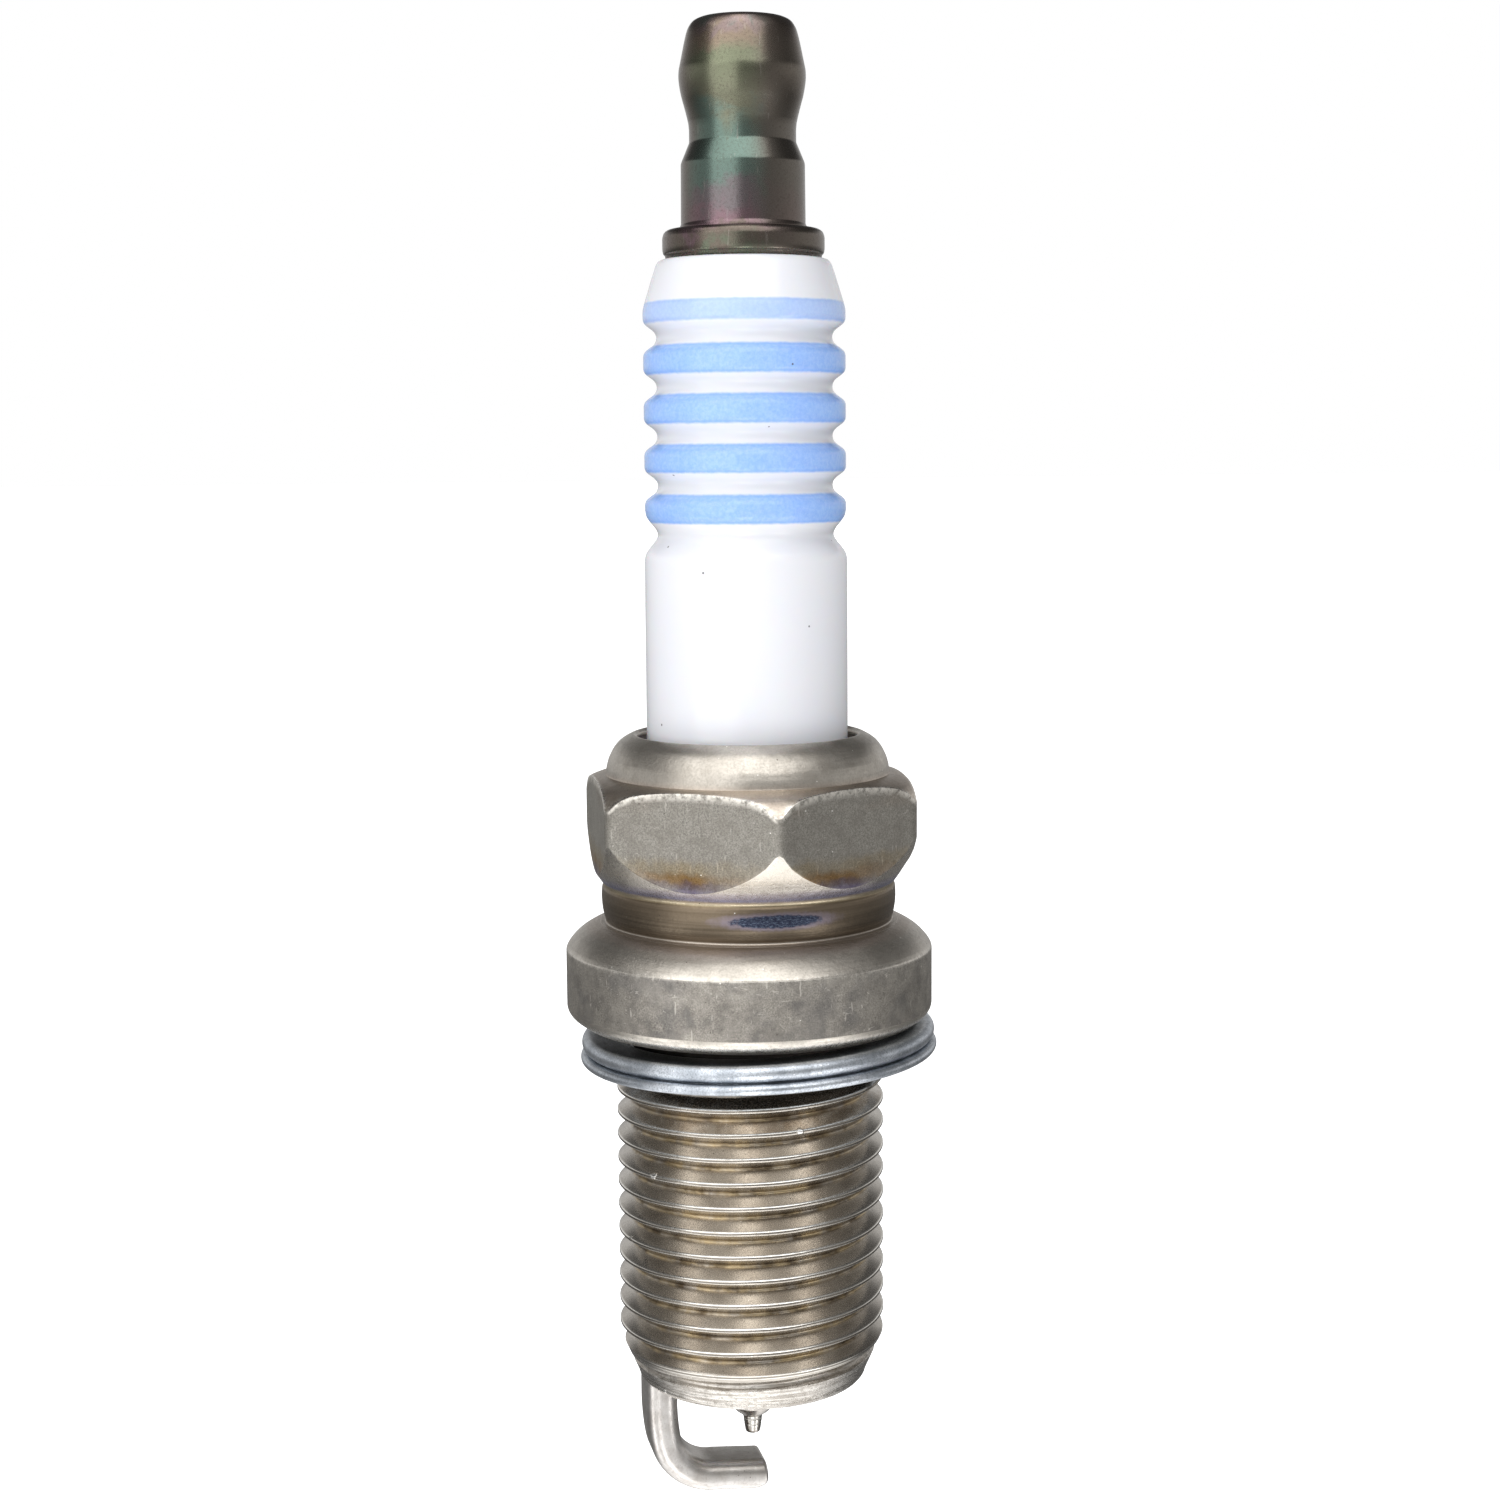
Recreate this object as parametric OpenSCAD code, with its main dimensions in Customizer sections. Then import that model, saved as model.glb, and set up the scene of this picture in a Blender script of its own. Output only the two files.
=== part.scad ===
// Fourteen millimetre spark plug with a fine-wire firing tip, a captive folded gasket and a
// terminal nut that unscrews from its stud.  Units are millimetres.
// The origin is the centre of the shell's seat plane, +Z points to the terminal, and the ground
// electrode's leg stands on the -X side with its arm running towards +X.

/* [Terminal] */

// Height of the terminal nut's top above the seat plane
terminal_top = 50.5; // [50:0.1:51]
// Greatest diameter of the terminal nut's head
terminal_head_d = 6.35; // [6.25:0.05:6.45]
// Diameter of the waist under the head
terminal_waist_d = 5.34; // [5.2:0.02:5.5]
// Diameter of the barrel under the waist
terminal_barrel_d = 6.24; // [6.1:0.02:6.3]
// Diameter of the stud's collar
collar_d = 8.14; // [7.9:0.02:8.3]
// Thickness of the stud's collar
collar_t = 1.49; // [1.3:0.05:1.6]
// Major diameter of the terminal thread
stud_thread_d = 3.94; // [3.9:0.02:3.96]
// Diameter of the nut's threaded hole
nut_hole_d = 4.06; // [4.04:0.02:4.1]

/* [Insulator] */

// Height of the insulator's top face above the seat plane
insulator_top = 38.66; // [38.5:0.05:38.8]
// Diameter of the top face
head_d = 8.66; // [8.5:0.02:8.8]
// Diameter of the smooth body above the shell
body_d = 10.3; // [10.2:0.02:10.4]
// Diameter over the ribs
rib_d = 10.2; // [10:0.02:10.3]
// Diameter in the grooves between the ribs
groove_d = 8.86; // [8.6:0.02:9.2]
// Distance from one rib to the next
rib_pitch = 2.46; // [2.4:0.01:2.5]
// Height of the top rib's centre
rib_top = 36.04; // [35.9:0.02:36.1]
// Diameter of the shoulder inside the hexagon
shoulder_d = 11.8; // [11.6:0.05:11.86]
// Diameter of the middle body in the threaded length
middle_d = 9.5; // [9.3:0.05:9.56]
// Height of the nose tip
nose_tip = -20.25; // [-20.6:0.05:-19.6]
// Diameter of the nose tip
nose_d = 4.4; // [4.2:0.05:4.6]
// Diameter of the stepped bore above the electrode
bore_d = 4.0; // [3.9:0.05:4.1]
// Diameter of the bore round the centre electrode
electrode_bore_d = 2.6; // [2.58:0.01:2.66]

/* [Shell] */

// Hexagon size across flats
hex_af = 15.875; // [15.8:0.005:16]
// Diameter the hexagon's corners are turned to
hex_corner_d = 18.02; // [17.8:0.02:18.2]
// Turn of the hexagon about the axis
hex_turn = 27.5; // [0:0.5:60]
// Flange diameter
flange_d = 18.9; // [18.8:0.05:19]
// Diameter of the plain neck between hexagon and flange
neck_d = 15.16; // [15.1:0.02:15.2]
// Inner diameter of the rolled lip
lip_d = 11.24; // [11:0.02:11.3]
// Thread major diameter
thread_d = 13.86; // [13.8:0.02:13.9]
// Thread pitch
thread_pitch = 1.25; // [1.25:0.01:1.25]
// Depth of the thread
thread_depth = 0.767; // [0.72:0.01:0.78]
// Distance from the seat plane to the shell's lower end
reach = 19.05; // [19:0.05:19.1]
// Diameter of the firing-end bore
mouth_d = 8.9; // [8.7:0.05:9]

/* [Gasket] */

// Outer diameter of the gasket
gasket_d = 18.5; // [18.3:0.05:18.6]
// Inner diameter of the gasket
gasket_hole_d = 13.44; // [13.4:0.02:13.5]
// Thickness of the uncrushed gasket
gasket_t = 1.5; // [1.45:0.05:1.55]
// Height of the gasket's folded seam below the seat plane
gasket_seam = 1.35; // [1.35:0.01:1.39]
// Lean of the loose gasket
gasket_lean = 2; // [1.5:0.1:2.2]
// Direction of the side that stands highest
gasket_bearing = -12; // [-30:1:30]
// Sideways play taken up by the loose gasket
gasket_play = 0.45; // [0.3:0.05:0.48]

/* [Electrodes] */

// Diameter of the centre electrode
electrode_d = 2.54; // [2.5:0.01:2.56]
// Height of the firing pin's end
pin_end = -22.55; // [-22.65:0.05:-22.5]
// Diameter of the firing pin at its root
pin_root_d = 1.08; // [1.05:0.01:1.14]
// Diameter of the firing pin at its end
pin_end_d = 0.78; // [0.7:0.02:0.8]
// Thickness of the ground electrode
strap_t = 1.62; // [1.56:0.01:1.64]
// Width of the ground electrode
strap_w = 2.95; // [2.85:0.05:3]
// Height of the ground electrode's upper face below the tip
strap_top = -23.7; // [-23.76:0.02:-23.6]
// Angle by which the ground electrode's arm droops
strap_droop = 3.8; // [3:0.1:4.2]
// How far the ground electrode's end stands past the axis
strap_over = 0.55; // [0.45:0.05:0.7]

/* [Hidden] */

$fn = 96;

thread_root_d = thread_d - 2 * thread_depth;
relief_d = thread_root_d - 0.22;
// Where a thread crest crosses the -X side
thread_crest_z = -4.83;
thread_crest_bearing = 168;
thread_sides = 30;
groove_half = thread_pitch * 7 / 16;

// The ledge that carries the insulator
ledge_r = 4.0;
ledge_z = -7.9;
ledge_slope = 0.82;
packing_t = 0.35;
mid_bore_r = 4.85;
top_bore_r = 6.0;
top_bore_z = 1.3;

// Insulator heights
shoulder_low = 2.3;
shoulder_high = 8.6;
shoulder_end = 9.6;
bore_step = -6.5;

// Sealed stack inside the insulator
lower_seal_top = -1.6;
resistor_top = 5.4;
upper_seal_top = 9.6;
core_bottom = -19.4;
core_d = 1.3;
cone_top = -20.95;
cone_bottom = -21.42;

// Packing above the shoulder
ring_r = 5.575;
ring_section = 0.4;
lower_ring_z = 9.98;
upper_ring_z = 13.02;

// Ground electrode path
strap_radius = 5.83 - strap_t / 2;
strap_lean = 9;
lean_radius = 13;
strap_start = -20.1;
bend_angle = 90 + strap_droop - strap_lean;
arm_z = strap_top - strap_t / 2 / cos(strap_droop);
lean_end_x = -strap_radius + lean_radius * (1 - cos(strap_lean));
lean_end_z = strap_start - lean_radius * sin(strap_lean);
bend_radius = (lean_end_z - arm_z + lean_end_x * tan(strap_droop))
    / (cos(strap_droop) - sin(strap_lean)
       - (cos(strap_lean) + sin(strap_droop)) * tan(strap_droop));
bend_centre_x = lean_end_x + bend_radius * cos(strap_lean);
bend_centre_z = lean_end_z + bend_radius * sin(strap_lean);

// Points on an arc from angle a0 to a1 about (cx, cz)
function arc(cx, cz, r, a0, a1, n) =
    [for (i = [0:n]) [cx + r * cos(a0 + (a1 - a0) * i / n), cz + r * sin(a0 + (a1 - a0) * i / n)]];

// Radius of the ribbed length at a fraction of one rib pitch from a rib's centre
function rib_radius(t) =
    let (u = abs(t - round(t)) * rib_pitch, v = min(max((u - 0.42) / 0.66, 0), 1))
    rib_d / 2 - (rib_d - groove_d) / 2 * v * v * (3 - 2 * v);

// Height of the shell's ledge at a radius
function ledge(r) = ledge_z + ledge_slope * (r - ledge_r);

// One ring of the four-cornered thread cutter
function cutter_ring(a, z) =
    let (ro = thread_d / 2 + 0.06, ri = thread_root_d / 2, spread = 0.06 * tan(30))
    let (wo = groove_half + spread, wi = groove_half - thread_depth * tan(30))
    [[ro * cos(a), ro * sin(a), z + wo], [ri * cos(a), ri * sin(a), z + wi],
     [ri * cos(a), ri * sin(a), z - wi], [ro * cos(a), ro * sin(a), z - wo]];

// The helical groove left between the thread's crests, as a solid to be cut away
module thread_groove() {
    z_low = -19.5;
    z_high = -1.6;
    n = round((z_high - z_low) / thread_pitch * thread_sides);
    phase = thread_crest_bearing + 360 * (z_low - thread_crest_z + thread_pitch / 2) / thread_pitch;
    points = [for (i = [0:n]) each cutter_ring(phase + 360 * i / thread_sides,
                                              z_low + thread_pitch * i / thread_sides)];
    sides = [for (i = [0:n - 1], j = [0:3])
             each [[4 * i + 4 + (j + 1) % 4, 4 * i + 4 + j, 4 * i + j],
                   [4 * i + (j + 1) % 4, 4 * i + 4 + (j + 1) % 4, 4 * i + j]]];
    polyhedron(points, concat([[2, 1, 0], [3, 2, 0]], sides,
                              [[4 * n, 4 * n + 1, 4 * n + 2], [4 * n, 4 * n + 2, 4 * n + 3]]));
}

// Solid outline of the shell's threaded shank, before the thread is cut
module shank() {
    r = thread_d / 2;
    rotate_extrude()
        polygon([[0, 0.4], [relief_d / 2, 0.4], [relief_d / 2, -2.62], [r, -3.0], [r, -16.6],
                 [6.05, -18.56], [5.98, -18.86], [5.8, -reach], [0, -reach]]);
}

// Lip, hexagon, neck and flange, before the bore is cut
module shell_head() {
    intersection() {
        translate([0, 0, 6])
            rotate([0, 0, hex_turn])
                cylinder(r = hex_af / 2 / cos(30), h = 6.94, $fn = 6);
        rotate_extrude()
            polygon([[0, 5], [7.3, 5], [7.46, 7.1], [7.84, 7.66], [8.12, 8.1], [8.37, 8.48],
                     [8.62, 8.9], [8.81, 9.28], [8.95, 9.65], [hex_corner_d / 2, 9.86],
                     [hex_corner_d / 2, 11.6], [8.96, 11.74], [8.86, 11.94], [8.77, 12.1],
                     [8.64, 12.26], [8.5, 12.4], [8.25, 12.54], [7.94, 12.66], [7.6, 12.76],
                     [7.29, 12.82], [0, 12.82]]);
    }
    rotate_extrude()
        polygon([[0, 0], [8.6, 0], [9.0, 0.22], [9.28, 0.48], [flange_d / 2, 0.8],
                 [flange_d / 2, 3.8], [9.28, 4.12], [8.95, 4.46], [8.5, 4.76], [8, 5.0],
                 [7.38, 5.24], [7.45, 5.5], [7.54, 5.9], [neck_d / 2, 6.4], [7.56, 7],
                 [7.5, 7.4], [0, 7.4]]);
    rotate_extrude()
        polygon([[0, 12.6], [7.3, 12.6], [7.29, 12.95], [7.24, 13.2], [7.18, 13.4], [7.12, 13.6],
                 [7.03, 13.8], [6.93, 14], [6.8, 14.2], [6.61, 14.42], [6.34, 14.62],
                 [6.0, 14.82], [5.8, 14.85], [0, 14.85]]);
}

// Stepped bore of the shell, open at both ends
module shell_bore() {
    m = mouth_d / 2;
    rotate_extrude()
        polygon([[0, -reach - 1], [m + 0.25, -reach - 1], [m + 0.25, -reach], [m, -reach + 0.25],
                 [m, -9.6], [ledge_r, -9.0], [ledge_r, ledge_z], [mid_bore_r, ledge(mid_bore_r)],
                 [mid_bore_r, 0.2], [top_bore_r, top_bore_z], [top_bore_r, 13.5],
                 [5.86, 13.86], [lip_d / 2, 14.08], [lip_d / 2, 14.66],
                 [lip_d / 2 + 0.2, 14.86], [lip_d / 2 + 0.2, 16], [0, 16]]);
}

module shell() {
    color([0.62, 0.58, 0.53])
        difference() {
            union() {
                difference() {
                    shank();
                    thread_groove();
                }
                shell_head();
            }
            shell_bore();
        }
}

// Cross-section of the ground electrode drawn in from its edge: thickness first, then width
function strap_section(inset) =
    let (t = strap_t / 2 - inset, w = strap_w / 2 - inset, c = 0.66 - inset)
    concat(arc(t - c, w - c, c, 0, 90, 4), arc(c - t, w - c, c, 90, 180, 4),
           arc(c - t, c - w, c, 180, 270, 4), arc(t - c, c - w, c, 270, 360, 4));

// A place on a bend about (cx, cz), where heading 0 runs down and 90 runs towards +X
function bend_station(cx, cz, r, heading) =
    [cx - r * cos(heading), cz - r * sin(heading), heading, 0];

// One ring of the ground electrode's surface at a station
function strap_ring(s) =
    [for (p = strap_section(s[3])) [s[0] - p[0] * cos(s[2]), p[1], s[1] - p[0] * sin(s[2])]];

module ground_electrode() {
    steps = 12;
    stations = concat(
        [[-strap_radius, -reach, 0, 0], [-strap_radius, strap_start, 0, 0]],
        [for (i = [1:3])
            bend_station(lean_radius - strap_radius, strap_start, lean_radius, strap_lean * i / 3)],
        [for (i = [1:steps])
            bend_station(bend_centre_x, bend_centre_z, bend_radius,
                         strap_lean + bend_angle * i / steps)],
        [[strap_over - 0.14, arm_z - (strap_over - 0.14) * tan(strap_droop), 90 + strap_droop, 0],
         [strap_over, arm_z - strap_over * tan(strap_droop), 90 + strap_droop, 0.12]]);
    last = len(stations) - 1;
    m = len(strap_section(0));
    sides = [for (i = [0:last - 1], j = [0:m - 1])
             each [[m * i + j, m * (i + 1) + j, m * (i + 1) + (j + 1) % m],
                   [m * i + j, m * (i + 1) + (j + 1) % m, m * i + (j + 1) % m]]];
    color([0.7, 0.68, 0.66])
        polyhedron([for (s = stations) each strap_ring(s)],
                   concat([[for (j = [0:m - 1]) j]], sides,
                          [[for (j = [0:m - 1]) m * last + m - 1 - j]]));
}

module gasket() {
    r_in = gasket_hole_d / 2;
    r_out = gasket_d / 2;
    top = 0.95;
    low = gasket_t - top;
    color([0.72, 0.73, 0.76])
        rotate([0, 0, gasket_bearing])
            translate([gasket_play, 0, -gasket_seam])
                rotate([0, -gasket_lean, 0])
                    rotate_extrude()
                        polygon(concat([[r_in, -low + 0.2], [r_in + 0.2, -low]],
                                       arc(r_out - 0.27, 0.27 - low, 0.27, -90, 70, 5),
                                       [[r_out - 0.3, 0.01]],
                                       arc(r_out - 0.58, 0.475, 0.475, -40, 90, 6),
                                       [[r_in + 0.9, top], [r_in + 0.45, top - 0.2],
                                        [r_in + 0.35, 0.2], [r_in, 0]]));
}

module insulator() {
    top = insulator_top;
    h = head_d / 2;
    b = body_d / 2;
    s = shoulder_d / 2;
    m = middle_d / 2;
    n = nose_d / 2;
    low_rib = rib_top - 4 * rib_pitch;
    ribs = [for (i = [1:40]) [rib_radius(i / 10), rib_top - rib_pitch * i / 10]];
    seat = ledge(m) + packing_t;
    color([0.95, 0.95, 0.97])
        difference() {
            rotate_extrude()
                polygon(concat(
                    [[0, nose_tip], [n - 0.3, nose_tip], [n - 0.08, nose_tip + 0.1], [n, nose_tip + 0.35],
                     [3.5, -8.9], [3.7, ledge(3.7) + packing_t], [m, seat], [m, 1.05],
                     [s - 0.1, shoulder_low - 0.1], [s, shoulder_low + 0.15],
                     [s, shoulder_high - 0.15], [s - 0.1, shoulder_high], [b, shoulder_end],
                     [b, 23.75], [b - 0.05, 24.02], [b - 0.25, 24.32], [4.62, 24.6],
                     [4.5, 24.85], [4.5, 25.05], [4.62, 25.3], [4.86, 25.6], [5.03, 25.85]],
                    [for (i = [39:-1:0]) ribs[i]],
                    [[rib_d / 2, rib_top], [5.08, 36.3], [h, top - 0.28], [h - 0.08, top - 0.08],
                     [h - 0.25, top], [0, top]]));
            rotate_extrude()
                polygon([[0, nose_tip - 1], [electrode_bore_d / 2, nose_tip - 1],
                         [electrode_bore_d / 2, bore_step - 0.6], [bore_d / 2, bore_step],
                         [bore_d / 2, top + 1], [0, top + 1]]);
        }
}

// Nickel electrode: shank, seating head and the cone that carries the pin
module centre_electrode() {
    r = electrode_d / 2;
    color([0.66, 0.65, 0.63])
        difference() {
            rotate_extrude()
                polygon([[0, cone_bottom], [pin_root_d / 2, cone_bottom], [r, cone_top],
                         [r, bore_step - 0.55], [1.85, bore_step + 0.05], [1.85, -5.4],
                         [1.2, -5.2], [1.1, -4.4], [0, -4.4]]);
            translate([0, 0, core_bottom])
                cylinder(d = core_d, h = 13);
        }
}

module copper_core() {
    color([0.78, 0.45, 0.28])
        translate([0, 0, core_bottom])
            cylinder(d = core_d, h = 13);
}

// Precious-metal pin welded to the electrode's cone
module firing_tip() {
    r = pin_end_d / 2;
    color([0.85, 0.85, 0.84])
        rotate_extrude()
            polygon([[0, pin_end], [r * 0.55, pin_end + 0.03], [r * 0.9, pin_end + 0.14],
                     [r, pin_end + 0.26], [pin_root_d / 2 - 0.04, cone_bottom - 0.12],
                     [pin_root_d / 2, cone_bottom], [0, cone_bottom]]);
}

// Conductive glass round the electrode's head
module lower_glass_seal() {
    color([0.25, 0.25, 0.27])
        difference() {
            translate([0, 0, bore_step + 0.1])
                cylinder(d = bore_d, h = lower_seal_top - bore_step - 0.1);
            rotate_extrude()
                polygon([[0, -8], [1.85, -8], [1.85, -5.4], [1.2, -5.2], [1.1, -4.4], [0, -4.4]]);
        }
}

module resistor() {
    color([0.18, 0.17, 0.17])
        translate([0, 0, lower_seal_top])
            cylinder(d = bore_d, h = resistor_top - lower_seal_top);
}

// Conductive glass round the stud's foot
module upper_glass_seal() {
    color([0.25, 0.25, 0.27])
        difference() {
            translate([0, 0, resistor_top])
                cylinder(d = bore_d, h = upper_seal_top - resistor_top);
            translate([0, 0, 7.2])
                cylinder(d = 3.2, h = 5);
        }
}

// Stud: foot sealed in glass, shank, collar and the threaded top
module terminal_stud() {
    c = collar_d / 2;
    low = insulator_top;
    top = insulator_top + collar_t;
    t = stud_thread_d / 2;
    color([0.36, 0.31, 0.28])
        rotate_extrude()
            polygon(concat([[0, 7.2], [1.6, 7.2], [1.6, low - 2], [1.9, low - 1.8], [1.9, low]],
                           [[c - 0.35, low], [c - 0.15, low + 0.12], [c, low + 0.42]],
                           arc(c - 0.38, top - 0.38, 0.38, 0, 90, 5),
                           [[t - 0.3, top], [t - 0.3, top + 0.5], [t, top + 0.8], [t, 48.1],
                            [t - 0.35, 48.45], [0, 48.45]]));
}

module terminal_nut() {
    base = insulator_top + collar_t;
    barrel = terminal_barrel_d / 2;
    waist = terminal_waist_d / 2;
    head = terminal_head_d / 2;
    hole = nut_hole_d / 2;
    top = terminal_top;
    color([0.36, 0.31, 0.28])
        difference() {
            rotate_extrude()
                polygon([[0, base], [barrel + 0.02, base], [barrel + 0.02, base + 0.12],
                         [barrel, base + 0.3], [barrel - 0.02, 43.4],
                         [barrel - 0.08, 43.52], [waist + 0.06, 44.26], [waist, 44.4],
                         [waist, 45.05], [waist + 0.04, 45.4], [2.81, 45.8], [2.92, 46.2],
                         [3.03, 46.6], [3.11, 46.98], [head, 47.38], [head, 47.86],
                         [3.1, 48.2], [3.03, 48.54], [2.95, 48.93], [2.87, 49.3], [2.74, 49.8],
                         [2.66, 50.0], [2.48, 50.26], [2.1, 50.42], [1.2, top], [0, top]]);
            rotate_extrude()
                polygon([[0, base - 1], [hole + 0.35, base - 1], [hole + 0.35, base],
                         [hole, base + 0.35], [hole, 48.7], [0, 49.4]]);
        }
}

// Soft steel washer between the shell's ledge and the insulator
module seat_packing() {
    color([0.6, 0.6, 0.6])
        rotate_extrude()
            polygon([[4.08, ledge(4.08)], [4.68, ledge(4.68)], [4.68, ledge(4.68) + packing_t],
                     [4.08, ledge(4.08) + packing_t]]);
}

module packing_ring(z) {
    color([0.6, 0.6, 0.6])
        translate([0, 0, z])
            rotate_extrude()
                translate([ring_r, 0])
                    circle(r = ring_section);
}

module lower_packing_ring() {
    packing_ring(lower_ring_z);
}

// Pressed powder between the two rings
module talc_fill() {
    color([0.86, 0.85, 0.8])
        rotate_extrude()
            polygon([[body_d / 2, lower_ring_z + 0.42], [top_bore_r, lower_ring_z + 0.42],
                     [top_bore_r, upper_ring_z - 0.42], [body_d / 2, upper_ring_z - 0.42]]);
}

module upper_packing_ring() {
    packing_ring(upper_ring_z);
}

shell();
ground_electrode();
gasket();
insulator();
centre_electrode();
copper_core();
firing_tip();
lower_glass_seal();
resistor();
upper_glass_seal();
terminal_stud();
terminal_nut();
seat_packing();
lower_packing_ring();
talc_fill();
upper_packing_ring();
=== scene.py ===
"""Looks of a fourteen millimetre spark plug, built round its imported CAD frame."""
from __future__ import annotations

import logging
import math
from collections.abc import Callable, Sequence
from dataclasses import dataclass, field
from enum import Enum

import bmesh
import bpy
import numpy as np
from mathutils import Matrix, Vector

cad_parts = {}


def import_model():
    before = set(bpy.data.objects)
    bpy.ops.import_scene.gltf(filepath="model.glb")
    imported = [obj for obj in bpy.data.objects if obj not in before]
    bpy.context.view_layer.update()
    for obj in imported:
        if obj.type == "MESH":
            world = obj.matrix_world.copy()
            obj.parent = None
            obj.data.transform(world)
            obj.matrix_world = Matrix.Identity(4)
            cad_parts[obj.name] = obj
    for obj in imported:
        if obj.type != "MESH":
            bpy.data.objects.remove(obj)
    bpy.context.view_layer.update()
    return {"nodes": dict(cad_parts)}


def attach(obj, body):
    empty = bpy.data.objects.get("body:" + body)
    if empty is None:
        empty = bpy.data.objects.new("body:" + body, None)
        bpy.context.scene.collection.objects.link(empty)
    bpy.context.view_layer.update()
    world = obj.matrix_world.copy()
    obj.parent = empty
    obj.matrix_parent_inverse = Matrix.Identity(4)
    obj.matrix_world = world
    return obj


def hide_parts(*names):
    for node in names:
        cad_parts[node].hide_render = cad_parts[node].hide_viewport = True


LOG = logging.getLogger("spark_plug")
MM = 0.001
Outline = list[tuple[float, float]]
Colour = tuple[float, float, float]
Socket = bpy.types.NodeSocket


# ---------------------------------------------------------------- outlines


def arc(cx: float, cz: float, r: float, start: float, end: float, steps: int) -> Outline:
    """Points along an arc.

    Args:
        cx: Radius at which the arc's centre lies.
        cz: Height of the arc's centre.
        r: Radius of the arc.
        start: First angle in degrees, from the outward direction.
        end: Last angle in degrees.
        steps: Number of chords.

    Returns:
        The points, both ends included.
    """
    angles = np.radians(np.linspace(start, end, steps + 1))
    return [(cx + r * math.cos(a), cz + r * math.sin(a)) for a in angles]


def rounded(points: Outline, radius: float, steps: int = 3) -> Outline:
    """Breaks every inner corner of an open outline with a small arc.

    Args:
        points: The outline.
        radius: Distance from each corner at which the break starts.
        steps: Number of chords in each break.

    Returns:
        The outline with its corners broken.
    """
    out: Outline = [points[0]]
    for before, corner, after in zip(points, points[1:], points[2:]):
        a, b, c = (np.array(p, float) for p in (before, corner, after))
        la, lc = np.linalg.norm(a - b), np.linalg.norm(c - b)
        if min(la, lc) < 1e-6:
            continue
        reach = min(radius, 0.45 * la, 0.45 * lc)
        p, q = b + (a - b) / la * reach, b + (c - b) / lc * reach
        for t in np.linspace(0.0, 1.0, steps + 1):
            v = (1 - t) ** 2 * p + 2 * t * (1 - t) * b + t * t * q
            out.append((float(v[0]), float(v[1])))
    out.append(points[-1])
    return out


def flowing(points: Outline, per_span: int = 6) -> Outline:
    """Runs a smooth curve through an outline's points.

    Args:
        points: Points that the curve passes through.
        per_span: Number of chords between two points.

    Returns:
        The finer outline.
    """
    p = np.array([points[0], *points, points[-1]], float)
    p[0] = 2 * p[1] - p[2]
    p[-1] = 2 * p[-2] - p[-3]
    out: Outline = []
    for i in range(1, len(p) - 2):
        for t in np.linspace(0, 1, per_span, endpoint=False):
            v = 0.5 * (
                2 * p[i]
                + (p[i + 1] - p[i - 1]) * t
                + (2 * p[i - 1] - 5 * p[i] + 4 * p[i + 1] - p[i + 2]) * t * t
                + (3 * p[i] - p[i - 1] - 3 * p[i + 1] + p[i + 2]) * t**3
            )
            out.append((float(v[0]), float(v[1])))
    out.append((float(p[-2][0]), float(p[-2][1])))
    return out


# ---------------------------------------------------------------- meshes


@dataclass
class MeshBuilder:
    """Turns rings of points into a finished mesh object.

    Attributes:
        name: Name of the piece.
        sharp_angle: Angle in degrees past which an edge shades sharp.
    """

    name: str
    sharp_angle: float = 35.0

    def from_rings(self, rings: np.ndarray, closed: bool = False, caps: bool = False) -> bpy.types.Object:
        """Skins a stack of equal rings.

        Args:
            rings: Array of shape (rings, points, 3) in millimetres, each ring anticlockwise seen from
                the direction in which the stack runs.
            closed: Whether the last ring joins the first.
            caps: Whether the first and last rings are filled.

        Returns:
            The piece, linked to the scene.
        """
        count, around = rings.shape[:2]
        verts = rings.reshape(-1, 3) * MM
        faces: list[tuple[int, ...]] = []
        for i in range(count if closed else count - 1):
            k = (i + 1) % count
            for j in range(around):
                m = (j + 1) % around
                faces.append((i * around + j, i * around + m, k * around + m, k * around + j))
        if caps:
            faces.append(tuple(reversed(range(around))))
            faces.append(tuple((count - 1) * around + j for j in range(around)))
        return self.from_data(verts, faces)

    def from_data(self, verts: np.ndarray, faces: list[tuple[int, ...]]) -> bpy.types.Object:
        """Makes the piece from vertices in metres and faces.

        Args:
            verts: Vertex positions in metres.
            faces: Vertex numbers of each face.

        Returns:
            The piece, linked to the scene, cleaned and with outward normals.
        """
        mesh = bpy.data.meshes.new(self.name)
        mesh.from_pydata([tuple(v) for v in verts], [], faces)
        made = bmesh.new()
        made.from_mesh(mesh)
        bmesh.ops.remove_doubles(made, verts=made.verts, dist=2e-7)
        bmesh.ops.dissolve_degenerate(made, edges=made.edges, dist=1e-8)
        bmesh.ops.recalc_face_normals(made, faces=made.faces)
        made.to_mesh(mesh)
        made.free()
        self.shade(mesh)
        piece = bpy.data.objects.new(self.name, mesh)
        bpy.context.scene.collection.objects.link(piece)
        return piece

    def shade(self, mesh: bpy.types.Mesh) -> None:
        """Shades a mesh smooth, with sharp edges kept.

        Args:
            mesh: The mesh to shade.
        """
        mesh.shade_smooth()
        mesh.set_sharp_from_angle(angle=math.radians(self.sharp_angle))

    def lathe(self, outline: Outline, sides: int = 160, closed: bool = False) -> bpy.types.Object:
        """Turns an outline about the plug's axis.

        Args:
            outline: Radius and height pairs in millimetres.
            sides: Number of columns round the axis.
            closed: Whether the outline is a closed loop, as for a ring.

        Returns:
            The piece.
        """
        a = np.linspace(0, 2 * math.pi, sides, endpoint=False)
        r = np.array([p[0] for p in outline])[:, None]
        z = np.array([p[1] for p in outline])[:, None]
        z = np.broadcast_to(z, (len(outline), sides))
        rings = np.stack([r * np.cos(a), r * np.sin(a), z], axis=2)
        return self.from_rings(rings, closed=closed)


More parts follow.
